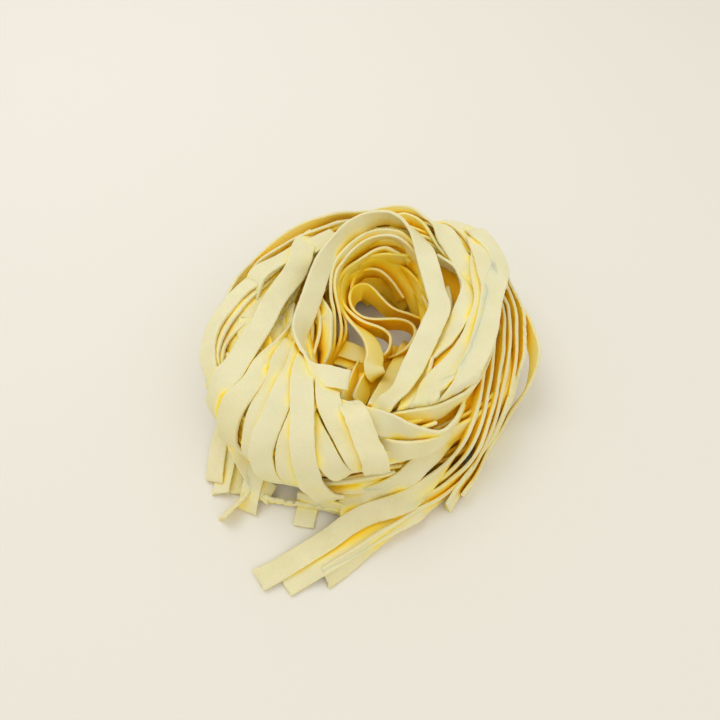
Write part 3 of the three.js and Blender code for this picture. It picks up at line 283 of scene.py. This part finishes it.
# ---------- lights and floor: places and sizes in metres, powers in watts ----------
KEY_AT, KEY_SIZE, KEY_POWER, KEY_COLOUR = (-0.30, 0.35, 0.80), 0.6, 2.22, (0.96, 0.98, 1.0)
FILL_AT, FILL_SIZE, FILL_POWER, FILL_COLOUR = (0.5, -0.5, 0.8), 0.9, 1.2, (0.97, 0.98, 1.0)
LIGHT_AIM = (0.0, 0.0, 0.02)
WORLD_COLOUR, WORLD_POWER = (1.0, 0.94, 0.80, 1.0), 0.80
FLOOR_COLOUR, FLOOR_ROUGHNESS, FLOOR_SIZE = (0.80, 0.79, 0.77, 1.0), 0.7, 3.0

# ---------- the dough ----------
# Painted shade and painted reflected light: the dough's colour by how crowded a place is, from 0 in the
# open to 1 in the deepest crevice.
PAINTED_SHADE_COLOURS = [(0.0, (0.75, 0.73, 0.51)), (0.12, (0.785, 0.75, 0.46)), (0.25, (0.87, 0.80, 0.38)),
                (0.40, (0.95, 0.81, 0.21)), (0.58, (0.97, 0.72, 0.05)), (0.80, (0.94, 0.57, 0.01)),
                (1.0, (0.80, 0.43, 0.004))]
# Painted reflected light off other dough, counted as crowding: this much on an upright face, this much
# more where that is deep in the hollow, and this much on anything there.
UPRIGHT_SHADE, HOLLOW_SHADE, DEEP_SHADE = 0.16, 0.42, 0.20
HOLLOW_MARGIN, HOLLOW_FADE = 8, 10   # the hollow counts from this far outside its rim, over this width
HOLLOW_DIM = 14                   # and over this depth below the top
DOUGH_ROUGHNESS, DOUGH_SPECULAR = 0.6, 0.12
GLOW_SHARE, GLOW_COLOUR = 0.3, (1.0, 0.6, 0.15)   # light that sinks in and comes out near by
GLOW_DEPTH = 0.001                # metres
WARM_TINT, WARM_MOST = (1.0, 0.95, 0.80, 1.0), 0.7   # the warmest ribbon takes this much of the tint
FLOUR_COLOUR = (0.90, 0.87, 0.66, 1.0)
# Patches and specks of flour: scale and detail of a noise, the values it goes between, most cover.
FLOUR = ((90.0, 3.0, 0.35, 0.7, 0.30), (1400.0, 2.0, 0.55, 0.75, 0.35))
# The flour is the dough's own; it fades out with crowding, which adds to the painted shade in the
# crevices.
FLOUR_FULL, FLOUR_NONE = 0.12, 0.50   # crowding up to which flour is full, and from which there is none
GRAIN = ((900.0, 4.0, 0.6), (260.0, 2.0, 0.5))   # scale, detail and roughness of two noises
GRAIN_STRENGTH, GRAIN_DEPTH = 0.35, 0.00025      # depth in metres

# ---------- what belongs together ----------
# Pieces of the model: each holds the ribbons of one place, in the order in which they are laid.
PIECES = {
    "hollow_floor": ["P6", "P7", "P2", "P1", "P3", "P4a", "P4b", "P5"],
    "hollow_loops": ["H7b", "H6b", "H6", "H7", "H8", "H5", "H4a", "H3", "H2", "H0b", "H0", "H1"],
    "loose_ends": ["D7", "D5", "D3", "D2", "D1", "fold", "sq", "serr", "D6"],
    "right_bundle": ["G2", "E2", "R0", "R6", "R5", "S5", "R2", "B3"],
    "trailing_ends": ["R4", "R3", "R1"],
    "coil_left": ["A5b", "A4b", "A4", "A0", "A0b", "A3", "A1"],
    "coil_right": ["C2", "C1c", "C1a", "La", "Lc", "C4", "C3"],
    "fan": ["B1", "B2", "F6b", "F1", "F2", "F3", "F4", "F5", "F6", "F7", "F8"],
    "twisted_arch": ["arch"],
}
TUCKED = ("La", "C1a", "Lc", "C4", "C3")   # ribbons that bend down behind the upper edge of B1
TUCK_FROM, TUCK_TO, TUCK_FADE = 262, 322, 6   # azimuths of that stretch, and how softly it ends
TUCK_GAP, TUCK_DROP = 0.9, 1.2    # distance behind the edge, and drop for each mm that is bent in
TORN = {"serr": 0.5, "D6": 0.35, "F8": 0.1, "R6": 0.3}   # edges rougher than the rest, in mm

# Buried turns that fill the ring, in sheaves that are pieces too: name, number, then the ranges of
# the section angle, lift, first azimuth, sweep and roll.
SHEAVES = [
    ("turns_below", 12, (235, 305), (-5, -0.5), (0, 360), (120, 240), (-8, 8)),
    ("turns_inside", 14, (140, 215), (-6, -1.5), (0, 360), (120, 240), (-12, 12)),
    ("turns_outside", 22, (-38, 34), (-7, -2.5), (0, 360), (120, 260), (-12, 12)),
    ("turns_front", 16, (15, 105), (-3.4, -2.2), (185, 212), (50, 66), (-6, 6)),
    ("turns_top", 14, (60, 125), (-9, -6.5), (-80, 130), (90, 170), (50, 80)),
    ("turns_top_left", 12, (60, 125), (-9, -5), (110, 210), (60, 120), (-15, 50)),
]
TURN_WIDTH, TURN_STEP = 8.5, 2.2  # STEP for these, as they hardly show
TURN_STATION = 12.0               # degrees between their stations
# How a buried turn sways in section angle, lift and roll: height and spacing in degrees of azimuth.
SWAY, RIDE, ROLL = (6, 110), (0.8, 80), (8, 120)
TURN_SINES = 3


# ---------- runs and frames ----------
def unit(v):
    """Rows of length one."""
    return v / np.maximum(np.linalg.norm(v, axis=-1, keepdims=True), 1e-9)


def between(a, b, c, d, t):
    """The Catmull-Rom curve from b to c, at t from 0 to 1."""
    return b + 0.5 * t * (c - a + t * (2 * a - 5 * b + 4 * c - d + t * (3 * (b - c) + d - a)))


def around(values, azimuth):
    """A smooth closed run through values that are spaced evenly round the ring."""
    values = np.asarray(values, float)
    n = len(values)
    place = np.asarray(azimuth, float) / 360 * n
    i = np.floor(place).astype(int)
    return between(*(values[(i + k) % n] for k in (-1, 0, 1, 2)), place - i)


def skin(azimuth, section, lift, under=False):
    """The point of the coil's skin, or of the buried turns, at an azimuth and a section angle."""
    azimuth, section = np.asarray(azimuth, float), np.asarray(section, float)
    c, s = np.cos(np.radians(section)), np.sin(np.radians(section))
    k = (np.abs(c) ** (2 * SHOULDER) + np.abs(s) ** (2 * SHOULDER)) ** (-0.5 / SHOULDER)
    z = NEST_HEIGHT / 2 + (NEST_HEIGHT / 2 + lift) * s * k
    outer, inner = around(OUTER_RADII, azimuth), around(HOLLOW_RADII, azimuth)
    if under:
        outer = outer - around(INSET, azimuth) * np.clip((z - INSET_FROM) / INSET_RISE, 0, 1)
        inner = inner - around(SHELF, azimuth) * np.clip(SHELF_SHARE - z / SHELF_FADE, 0, 1)
    r = (outer + inner) / 2 + ((outer - inner) / 2 + lift) * c * k
    a = np.radians(azimuth)
    return np.stack([r * np.cos(a), r * np.sin(a), z + 0 * r], -1)


def skin_normal(azimuth, section, lift, under=False):
    """The way out of the skin there."""
    along = skin(azimuth + 0.5, section, lift, under) - skin(azimuth - 0.5, section, lift, under)
    round_it = skin(azimuth, section + 0.5, lift, under) - skin(azimuth, section - 0.5, lift, under)
    return unit(np.cross(along, round_it))


def smooth_run(stations, pieces=12):
    """Catmull-Rom through the rows of stations."""
    rows = np.asarray(stations, float)
    rows = np.vstack([2 * rows[0] - rows[1], rows, 2 * rows[-1] - rows[-2]])
    t = (np.arange(pieces) / pieces)[:, None]
    run = []
    for four in zip(rows, rows[1:], rows[2:], rows[3:]):
        run.append(between(*four, t))
    run.append(rows[-2][None])
    return np.vstack(run)


def even_run(run, places, step):
    """The same run in even steps, measured between its places."""
    length = np.r_[0, np.cumsum(np.linalg.norm(np.diff(places, axis=0), axis=1))]
    count = max(4, round(length[-1] / step) + 1)
    want = np.linspace(0, length[-1], count)
    return np.stack([np.interp(want, length, column) for column in run.T], 1)


def soften(values, passes=3):
    """Rows evened out with their neighbours, the ends kept."""
    values = values.copy()
    for _ in range(passes):
        values[1:-1] = (values[:-2] + 2 * values[1:-1] + values[2:]) / 4
    return values


def course(width, anchor, stations, on_skin, step=STEP, under=False):
    """A ribbon's run: centre, directions along, across, off its face and out, and where it is sunk."""
    run = smooth_run(stations)
    places = skin(run[:, 0], run[:, 1], run[:, 2], under) if on_skin else run[:, :3]
    run = even_run(run, places, step)
    if on_skin:
        place = skin(run[:, 0], run[:, 1], run[:, 2], under)
        up = skin_normal(run[:, 0], run[:, 1], run[:, 2], under)
    else:
        place = run[:, :3]
        up = np.tile([0.0, 0.0, 1.0], (len(place), 1))
    place = soften(place)
    along = unit(np.gradient(place, axis=0))
    up = unit(up - (up * along).sum(1, keepdims=True) * along)
    side = np.cross(along, up)
    roll = np.radians(soften(run[:, 3:4], ROLL_PASSES))
    face = soften(unit(np.cos(roll) * up + np.sin(roll) * side))
    face = unit(face - (face * along).sum(1, keepdims=True) * along)
    across = np.cross(face, along)
    sunk = np.repeat(on_skin * (run[:, 2:3] < SUNK), 3, 1)
    return place - across * (anchor * width / 2), along, across, face, up, sunk


# ---------- ribbons that lie on each other ----------
def outward(face, up):
    """The face's normal on the side that looks out of the nest."""
    return face * np.sign((face * up).sum(1, keepdims=True) + 1e-9)


def laid_tree(laid):
    """The laid ribbons as one tree for rays: a plain four-sided section at every second ring."""
    vertices, faces, base = [], [], 0
    for width, runs, lift in laid:
        centre, _, across, face, up, _ = (v[::2] for v in runs)
        half, thick, out = across * width / 2, face * RIBBON_THICKNESS / 2, outward(face, up)
        left = centre - half + lift[::2, :1] * out
        right = centre + half + lift[::2, 1:] * out
        vertices.append(np.stack([left - thick, right - thick, right + thick, left + thick],
                                 1).reshape(-1, 3))
        for i in range(len(centre) - 1):
            for k in range(4):
                a, b = base + 4 * i + k, base + 4 * i + (k + 1) % 4
                faces.append((a, b, b + 4, a + 4))
        base += 4 * len(centre)
    return BVHTree.FromPolygons(np.vstack(vertices).tolist(), faces)


def straight_over(need, spots):
    """For each row the straight line over every need that is lowest in the middle: its two ends."""
    left, right = spots <= 0, spots >= 0
    ends = np.zeros((len(need), 2))
    for row, heights in enumerate(need):
        middle = max((heights[i] * spots[j] - heights[j] * spots[i]) / (spots[j] - spots[i])
                     if spots[j] > spots[i] else heights[i]
                     for i in np.flatnonzero(left) for j in np.flatnonzero(right))
        least = max((heights[j] - middle) / spots[j] for j in np.flatnonzero(spots > 0))
        most = min((middle - heights[i]) / -spots[i] for i in np.flatnonzero(spots < 0))
        slope = min(max(0.0, least), max(most, least))
        ends[row] = middle - slope, middle + slope
    return ends


def lay(width, runs, tree):
    """How far each edge of a ribbon rises so that the ribbon lies on what is just under it."""
    centre, _, across, face, up, sunk = runs
    out = outward(face, up)
    flat = (np.abs((face * up).sum(1)) > FLAT_ENOUGH) & (sunk[:, 0] < 0.5)
    spots = np.array(LAY_SPOTS)
    lift = np.zeros((len(centre), 2))
    for _ in range(LAY_ROUNDS):
        need = np.zeros((len(centre), len(spots)))
        for k, spot in enumerate(spots):
            here = lift[:, :1] * (1 - spot) / 2 + lift[:, 1:] * (1 + spot) / 2
            start = centre + across * (spot * width / 2) + out * (here + LAY_REACH)
            for i in np.flatnonzero(flat):
                hit = tree.ray_cast(start[i].tolist(), (-out[i]).tolist(),
                                    LAY_REACH + RIBBON_THICKNESS / 2)
                point, normal, _, far = hit
                if point is not None and normal.dot(Vector(out[i])) > 0:
                    need[i, k] = LAY_REACH - far + RIBBON_THICKNESS / 2 + LAY_GAP
        need = np.maximum(need, 0)
        wide = need.copy()
        for shift in range(1, LAY_SPREAD + 1):
            wide[shift:] = np.maximum(wide[shift:], need[:-shift])
            wide[:-shift] = np.maximum(wide[:-shift], need[shift:])
        rise = soften(straight_over(wide, spots), LAY_PASSES)
        lift = np.clip(lift + rise, -LAY_SINK, LAY_MOST)
    return lift


def tuck(points):
    """Bends what passes under the upper edge of B1 straight down behind it."""
    edge = np.array(FREE_RIBBONS["B1"][2])[:, :2]
    turn = np.degrees(np.arctan2(edge[:, 1], edge[:, 0])) % 360
    keep = turn > TUCK_FROM
    azimuth = np.degrees(np.arctan2(points[..., 1], points[..., 0])) % 360
    radius = np.hypot(points[..., 0], points[..., 1])
    reach = np.interp(azimuth, turn[keep], np.hypot(*edge[keep].T)) - TUCK_GAP
    near = np.clip((TUCK_TO - azimuth) / TUCK_FADE, 0, 1) * (azimuth > TUCK_FROM)
    past = np.maximum(radius - reach, 0) * near
    points = points.copy()
    points[..., :2] *= (1 - past / radius)[..., None]
    points[..., 2] -= TUCK_DROP * past
    return points


# ---------- a ribbon's mesh ----------
# Places of the points round a ribbon's section, in the order that profile() gives them: along the
# top from the left edge, down the right edge, back along the underside and up the left edge.
TOP, RIGHT, UNDER, LEFT = range(7), range(7, 9), range(9, 16), range(16, 18)


def waves(rng, length, spacing, count=4):
    """A wave along a length: a sum of sines of about that spacing, mostly between -1 and 1."""
    total = np.zeros_like(length)
    for _ in range(count):
        turn = rng.uniform(0.6, 1.6) * 2 * math.pi / spacing
        total += np.sin(length * turn + rng.uniform(0, 2 * math.pi))
    return total / math.sqrt(count)


def profile(half, thick):
    """Rows of (across from -1 to 1, height from -1 to 1) round a ribbon's section, edges rounded."""
    e = EDGE_ROUND / half
    top = [-1 + e, -1 + EDGE_FLAT * e, -0.5, 0.0, 0.5, 1 - EDGE_FLAT * e, 1 - e]
    side = 1 - EDGE_ROUND / thick * EDGE_DROP
    return np.array([(u, 1.0) for u in top] + [(1.0, side), (1.0, -side)]
                    + [(u, -1.0) for u in reversed(top)] + [(-1.0, -side), (-1.0, side)])


def ribbon(name, width, runs, rough=0.0, lift=None):
    """Rings of vertices and faces of one ribbon with wavy edges, a slight cup and torn ends."""
    centre, along, across, face, up, _ = runs
    rng = np.random.default_rng([SEED, *name.encode()])
    n = len(centre)
    length = np.r_[0, np.cumsum(np.linalg.norm(np.diff(centre, axis=0), axis=1))]
    half, thick = width / 2, RIBBON_THICKNESS / 2
    section = profile(half, thick)
    u, v = section[:, 0], section[:, 1]
    m = len(section)
    halves = half * (1 + WIDTH_WANDER * waves(rng, length, WIDTH_WAVE))
    thicks = thick * (1 + THICKNESS_WANDER * waves(rng, length, THICKNESS_WAVE))
    left, right = (waves(rng, length, spacing) for spacing in RUFFLE_WAVES)
    cup = CUP * waves(rng, length, CUP_WAVE)
    fine_left, fine_right = (EDGE_WANDER * waves(rng, length, spacing, EDGE_SINES)
                             + rough * rng.normal(size=n) for spacing in EDGE_WAVES)
    edge = np.abs(u) ** 3   # waves are full at the edges and nothing in the middle
    wander = np.where(u[None] > 0, fine_right[:, None], -fine_left[:, None]) * edge[None]
    out = halves[:, None] * u[None] + wander
    rise = (thicks[:, None] * v[None]
            + RUFFLE * np.where(u[None] > 0, right[:, None], left[:, None]) * edge[None]
            + cup[:, None] * (CUP_MIDDLE - u[None] ** 2))
    slant = rng.uniform(-END_SLANT, END_SLANT, 2) * half
    shift = np.zeros((n, m))
    for end, sign in ((0, -1), (1, 1)):
        reach = length if end == 0 else length[-1] - length
        fade = np.clip(1 - reach / END_FADE, 0, 1) ** 2
        torn = waves(rng, u * half, TEAR_WAVE, TEAR_SINES) * END_TEAR
        shift += fade[:, None] * (slant[end] * u + torn)[None] * sign
    points = (centre[:, None] + across[:, None] * out[..., None] + face[:, None] * rise[..., None]
              + along[:, None] * shift[..., None])
    if lift is not None:
        higher = lift[:, :1] * (1 - u[None]) / 2 + lift[:, 1:] * (1 + u[None]) / 2
        points += outward(face, up)[:, None] * higher[..., None]
    if name in TUCKED:
        points = tuck(points)
    # each end closes with one ring a little further out and thinner, and a face over it
    caps = []
    for row, sign in ((0, -1), (-1, 1)):
        thinner = points[row] - face[row] * rise[row][:, None] * CAP_THIN
        caps.append(thinner + along[row] * sign * CAP_REACH)
    points = np.concatenate([caps[0][None], points, caps[1][None]])
    sunk = np.maximum(LOWEST - points[..., 2].min(1), 0)
    points[..., 2] += soften(sunk[:, None], 2)
    points[..., 2] = np.maximum(points[..., 2], LOWEST * 0.5)
    rows = n + 2
    i, j = np.meshgrid(np.arange(rows - 1), np.arange(m), indexing="ij")
    k = (j + 1) % m
    quads = np.stack([i * m + j, i * m + k, (i + 1) * m + k, (i + 1) * m + j], -1).reshape(-1, 4)
    first = list(range(m))[::-1]
    last = [(rows - 1) * m + q for q in range(m)]
    return {"rings": points, "section": section, "face": face, "across": across,
            "quads": quads, "ends": [first, last], "tone": rng.uniform()}


def strips(ribbons):
    """The ribbons' middle planes as one tree for rays, with every second ring."""
    vertices, faces, base = [], [], 0
    for part in ribbons:
        rings = part["rings"][1:-1:2]
        right = (rings[:, RIGHT[0]] + rings[:, RIGHT[1]]) / 2
        left = (rings[:, LEFT[0]] + rings[:, LEFT[1]]) / 2
        n = len(rings)
        vertices += np.vstack([left, right]).tolist()
        faces += [(base + i, base + i + 1, base + n + i + 1, base + n + i) for i in range(n - 1)]
        base += 2 * n
    return BVHTree.FromPolygons(vertices, faces)


def crowding(part, tree, skip):
    """How crowded each vertex of a ribbon is, which sets its painted shade: 0 in the open, 1 deep in a
    crevice.
    """
    rings, section = part["rings"], part["section"]
    n, m = len(rings), len(section)
    picked = np.unique(np.r_[np.arange(1, n - 1, skip), n - 2])
    top, under = [TOP[0], TOP[3], TOP[6]], [UNDER[6], UNDER[3], UNDER[0]]
    probes = [*top, RIGHT[0], *under, LEFT[0]]
    rays = np.array([(math.sqrt((k + 0.5) / CROWD_RAYS), k * GOLDEN_ANGLE)
                     for k in range(CROWD_RAYS)])
    away = np.stack([rays[:, 0] * np.cos(rays[:, 1]), rays[:, 0] * np.sin(rays[:, 1]),
                     np.sqrt(1 - rays[:, 0] ** 2)], 1)
    found = np.zeros((len(picked), m))
    for probe in probes:
        u, v = section[probe]
        face, across = part["face"][picked - 1], part["across"][picked - 1]
        out = across * np.sign(u) if abs(u) == 1 else face * np.sign(v)
        start = rings[picked, probe] + out * PROBE_OFF
        side = unit(np.cross(out, face + across * 0.7))   # any direction at right angles to out
        other = np.cross(out, side)
        ways = (away[None, :, :1] * side[:, None] + away[None, :, 1:2] * other[:, None]
                + away[None, :, 2:] * out[:, None])
        for row, (p, directions) in enumerate(zip(start.tolist(), ways.tolist())):
            total = 0.0
            for way in directions:
                hit = tree.ray_cast(p, way, CROWD_REACH)[3]
                if hit is not None:
                    total += 1 - hit / CROWD_REACH
                elif way[2] < 0 and p[2] < -way[2] * CROWD_REACH:
                    total += BOARD_CROWDS
            found[row, probe] = total / CROWD_RAYS
    for first, second in (RIGHT, LEFT):
        found[:, second] = found[:, first]
    for points, tested in ((TOP, top), (UNDER, under)):
        for j in set(points) - set(tested):
            weights = np.array([np.interp(section[j, 0], section[tested, 0], np.eye(3)[k])
                                for k in range(3)])
            found[:, j] = found[:, tested] @ weights
    full = np.stack([np.interp(np.arange(n), picked, column) for column in found.T], 1)
    return soften(full, 2)


def painted_reflection(part):
    """Painted reflected light: what light off other dough adds to a vertex's crowding, most on upright
    faces in the hollow.
    """
    rings, section = part["rings"], part["section"]
    upright = 1 - np.abs(np.vstack([part["face"][:1], part["face"], part["face"][-1:]])[:, 2:])
    radius = np.hypot(rings[..., 0], rings[..., 1])
    azimuth = np.degrees(np.arctan2(rings[..., 1], rings[..., 0]))
    rim = around(HOLLOW_RADII, azimuth)
    depth = np.clip((rim + HOLLOW_MARGIN - radius) / HOLLOW_FADE, 0, 1)
    depth = depth * np.clip((NEST_HEIGHT - rings[..., 2]) / HOLLOW_DIM, 0, 1)
    on_face = (np.abs(section[:, 0]) < 0.99)[None]   # and not on the cut edges
    return upright * on_face * (UPRIGHT_SHADE + HOLLOW_SHADE * depth) + DEEP_SHADE * depth


def mesh_piece(name, parts, material, tree=None, skip=1):
    """One Blender object from ribbons or the core, with its crowding (painted shade and painted reflected
    light) as a colour attribute.
    """
    vertices, faces, tones, painted_shade_values, base = [], [], [], [], 0
    for part in parts:
        points = part["rings"].reshape(-1, 3)
        vertices.append(points)
        faces += (part["quads"] + base).tolist()
        faces += [[q + base for q in end] for end in part["ends"]]
        tones.append(np.full(len(points), part["tone"]))
        if "section" in part:
            painted_shade = crowding(part, tree, skip) + painted_reflection(part)
        else:
            # the core takes the full painted shade of the deepest crevice
            painted_shade = np.ones(len(points))
        painted_shade_values.append(painted_shade.reshape(-1))
        base += len(points)
    places = np.vstack(vertices)
    moved = (places - np.array([NEST_CENTRE[0], NEST_CENTRE[1], 0.0])) * MM
    mesh = bpy.data.meshes.new(name)
    mesh.from_pydata(moved.tolist(), [], faces)
    tint = mesh.color_attributes.new("tint", "FLOAT_COLOR", "POINT")
    colours = np.zeros((len(moved), 4))
    colours[:, 0] = np.concatenate(tones)                      # red: the ribbon's own tone
    # green carries the painted shade and painted reflected light
    colours[:, 1] = np.clip(np.concatenate(painted_shade_values), 0, 1)      # green: how crowded
    colours[:, 3] = 1.0
    tint.data.foreach_set("color", colours.ravel())
    mesh.polygons.foreach_set("use_smooth", [True] * len(mesh.polygons))
    mesh.materials.append(material)
    mesh.update()
    thing = bpy.data.objects.new(name, mesh)
    bpy.context.scene.collection.objects.link(thing)
    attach(thing, "root")
    return thing


# ---------- materials ----------
def pasta_material(name):
    """Egg dough with painted shade and painted reflected light: pale and floury in the open, deeper
    yellow where ribbons crowd together.
    """
    made = bpy.data.materials.new(name)
    made.use_nodes = True
    tree = made.node_tree
    nodes, links = tree.nodes, tree.links
    shader = nodes["Principled BSDF"]
    for socket, value in (("Roughness", DOUGH_ROUGHNESS), ("Subsurface Weight", GLOW_SHARE),
                          ("Subsurface Radius", GLOW_COLOUR), ("Subsurface Scale", GLOW_DEPTH),
                          ("Specular IOR Level", DOUGH_SPECULAR)):
        shader.inputs[socket].default_value = value
    place = nodes.new("ShaderNodeTexCoord")
    tint = nodes.new("ShaderNodeAttribute")
    tint.attribute_name = "tint"
    parts = nodes.new("ShaderNodeSeparateColor")
    links.new(tint.outputs["Color"], parts.inputs["Color"])

    def noise(scale, detail, roughness=0.5):
        node = nodes.new("ShaderNodeTexNoise")
        node.inputs["Scale"].default_value = scale
        node.inputs["Detail"].default_value = detail
        node.inputs["Roughness"].default_value = roughness
        links.new(place.outputs["Object"], node.inputs["Vector"])
        return node.outputs["Fac"]

    def mix(factor, a, b, kind="MIX"):
        node = nodes.new("ShaderNodeMix")
        node.data_type = "RGBA"
        node.blend_type = kind
        for socket, value in ((0, factor), (6, a), (7, b)):   # 6, 7 and output 2 are the colours
            if isinstance(value, (tuple, float)):
                node.inputs[socket].default_value = value
            else:
                links.new(value, node.inputs[socket])
        return node.outputs[2]

    def ramp(value, low, high, start=0.0, end=1.0):
        node = nodes.new("ShaderNodeMapRange")
        for socket, number in (("From Min", low), ("From Max", high), ("To Min", start), ("To Max", end)):
            node.inputs[socket].default_value = number
        links.new(value, node.inputs["Value"])
        return node.outputs["Result"]

    def combine(operation, a, b):
        node = nodes.new("ShaderNodeMath")
        node.operation = operation
        links.new(a, node.inputs[0])
        links.new(b, node.inputs[1])
        return node.outputs[0]

    # painted shade and painted reflected light: the crowding picks the colour from PAINTED_SHADE_COLOURS
    painted_shade = nodes.new("ShaderNodeValToRGB")
    links.new(parts.outputs["Green"], painted_shade.inputs["Fac"])
    stops = painted_shade.color_ramp.elements
    for place_on, _ in PAINTED_SHADE_COLOURS[1:-1]:
        stops.new(place_on)
    for stop, (place_on, shade) in zip(sorted(stops, key=lambda e: e.position), PAINTED_SHADE_COLOURS):
        stop.position, stop.color = place_on, (*shade, 1.0)
    warm = mix(1.0, painted_shade.outputs["Color"], WARM_TINT, "MULTIPLY")
    warmth = ramp(parts.outputs["Red"], 0.0, 1.0, 0.0, WARM_MOST)
    colour = mix(warmth, painted_shade.outputs["Color"], warm)
    # flour only in the open: where crowding is high the painted shade shows bare
    open_face = ramp(parts.outputs["Green"], FLOUR_FULL, FLOUR_NONE, 1.0, 0.0)
    for scale, detail, low, high, most in FLOUR:
        amount = ramp(noise(scale, detail), low, high, 0.0, most)
        colour = mix(combine("MULTIPLY", amount, open_face), colour, FLOUR_COLOUR)
    links.new(colour, shader.inputs["Base Color"])
    bump = nodes.new("ShaderNodeBump")
    bump.inputs["Strength"].default_value = GRAIN_STRENGTH
    bump.inputs["Distance"].default_value = GRAIN_DEPTH
    links.new(combine("ADD", *(noise(*row) for row in GRAIN)), bump.inputs["Height"])
    links.new(bump.outputs["Normal"], shader.inputs["Normal"])
    return made


def plain_material(name, colour, rough):
    """One colour and nothing else."""
    made = bpy.data.materials.new(name)
    made.use_nodes = True
    shader = made.node_tree.nodes["Principled BSDF"]
    shader.inputs["Base Color"].default_value = colour
    shader.inputs["Roughness"].default_value = rough
    return made


# ---------- the core ----------
def core(material):
    """The unseen middle of the coil: a smooth ring that closes the gaps between the turns, painted all
    over with the deepest crevice's shade.
    """
    rounds, sections = CORE_ROUND, CORE_SECTION
    azimuth = np.repeat(np.arange(rounds) * 360 / rounds, sections)
    section = np.tile(np.arange(sections) * 360 / sections, rounds)
    places = skin(azimuth, section, -CORE_DEPTH, True)
    places[:, 2] = np.maximum(places[:, 2], LOWEST)
    i, j = np.meshgrid(np.arange(rounds), np.arange(sections), indexing="ij")
    a, b = (i + 1) % rounds, (j + 1) % sections
    quads = np.stack([i * sections + j, a * sections + j, a * sections + b, i * sections + b], -1)
    part = {"rings": places, "quads": quads.reshape(-1, 4), "ends": [], "tone": 0.5}
    return mesh_piece("core", [part], material)


# ---------- buried turns ----------
def sheaf(name, count, sections, lifts, starts, sweeps, rolls):
    """Turns that sway side by side under the listed ribbons."""
    rng = np.random.default_rng([SEED, *name.encode()])
    made = []
    for k in range(count):
        # the first of these draws isn't used, and is made for the sake of those after it
        _, lift, roll = (rng.uniform(*pair) for pair in (sections, lifts, rolls))
        section = sections[0] + (sections[1] - sections[0]) * (k + rng.uniform(0, 1)) / count
        start, sweep = rng.uniform(*starts), rng.uniform(*sweeps)
        azimuths = np.arange(start, start + sweep, TURN_STATION)
        sway, ride, turn = (height * waves(rng, azimuths, spacing, TURN_SINES)
                            for height, spacing in (SWAY, RIDE, ROLL))
        stations = np.stack([azimuths, section + sway, lift + ride, roll + turn], 1)
        runs = course(TURN_WIDTH, 0, stations, True, TURN_STEP, True)
        made.append((f"{name}{k}", TURN_WIDTH, runs))
    return made


# ---------- lights ----------
def lamp(name, at, size, power, colour):
    """An area light at a place in metres, aimed at the nest."""
    data = bpy.data.lights.new(name, "AREA")
    data.shape = "DISK"
    data.size, data.energy, data.color = size, power, colour
    thing = bpy.data.objects.new(name, data)
    thing.location = at
    aim = np.array(LIGHT_AIM) - np.array(at)
    thing.rotation_mode = "QUATERNION"
    thing.rotation_quaternion = Vector(aim).to_track_quat("-Z", "Y")
    bpy.context.scene.collection.objects.link(thing)


# ---------- the scene ----------
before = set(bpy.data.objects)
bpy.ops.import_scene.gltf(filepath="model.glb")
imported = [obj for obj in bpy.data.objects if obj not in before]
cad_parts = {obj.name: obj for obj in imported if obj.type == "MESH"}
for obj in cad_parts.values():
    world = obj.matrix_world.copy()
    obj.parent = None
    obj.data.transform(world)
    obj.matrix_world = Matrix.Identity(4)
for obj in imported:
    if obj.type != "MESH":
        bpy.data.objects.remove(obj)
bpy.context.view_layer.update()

pasta = pasta_material("pasta")
made, laid = {}, []
for row in SHEAVES:
    made[row[0]] = []
    for name, width, runs in sheaf(*row):
        made[row[0]].append(ribbon(name, width, runs))
        laid.append((width, runs, np.zeros((len(runs[0]), 2))))
for piece, names in PIECES.items():
    made[piece] = []
    for name in names:
        table, on_skin = (SKIN_RIBBONS, True) if name in SKIN_RIBBONS else (FREE_RIBBONS, False)
        width, anchor, stations = table[name]
        runs = course(width, anchor, stations, on_skin)
        lift = lay(width, runs, laid_tree(laid))
        laid.append((width, runs, lift))
        made[piece].append(ribbon(name, width, runs, TORN.get(name, 0.0), lift))
tree = strips([part for parts in made.values() for part in parts])
for piece, parts in made.items():
    mesh_piece(piece, parts, pasta, tree, SHOWN_SKIP if piece in PIECES else BURIED_SKIP)
heart = core(pasta)
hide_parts("pasta_nest")

bpy.ops.mesh.primitive_plane_add(size=FLOOR_SIZE, location=(0, 0, 0))
floor = bpy.context.object
floor.name = "floor"
floor.data.materials.append(plain_material("floor", FLOOR_COLOUR, FLOOR_ROUGHNESS))

world = bpy.data.worlds.new("studio")
world.use_nodes = True
world.node_tree.nodes["Background"].inputs["Color"].default_value = WORLD_COLOUR
world.node_tree.nodes["Background"].inputs["Strength"].default_value = WORLD_POWER
bpy.context.scene.world = world

lamp("key", KEY_AT, KEY_SIZE, KEY_POWER, KEY_COLOUR)
lamp("fill", FILL_AT, FILL_SIZE, FILL_POWER, FILL_COLOUR)

data = bpy.data.cameras.new("camera")
data.lens, data.sensor_width = CAMERA_LENS, CAMERA_SENSOR
camera = bpy.data.objects.new("camera", data)
camera.location = [(CAMERA_AT[0] - NEST_CENTRE[0]) * MM, (CAMERA_AT[1] - NEST_CENTRE[1]) * MM,
                   CAMERA_AT[2] * MM]
camera.rotation_euler = (math.radians(90 - CAMERA_DOWN), 0, 0)
data.clip_start = CAMERA_NEAR
bpy.context.scene.collection.objects.link(camera)
bpy.context.scene.camera = camera
bpy.context.scene.view_settings.view_transform = "Standard"
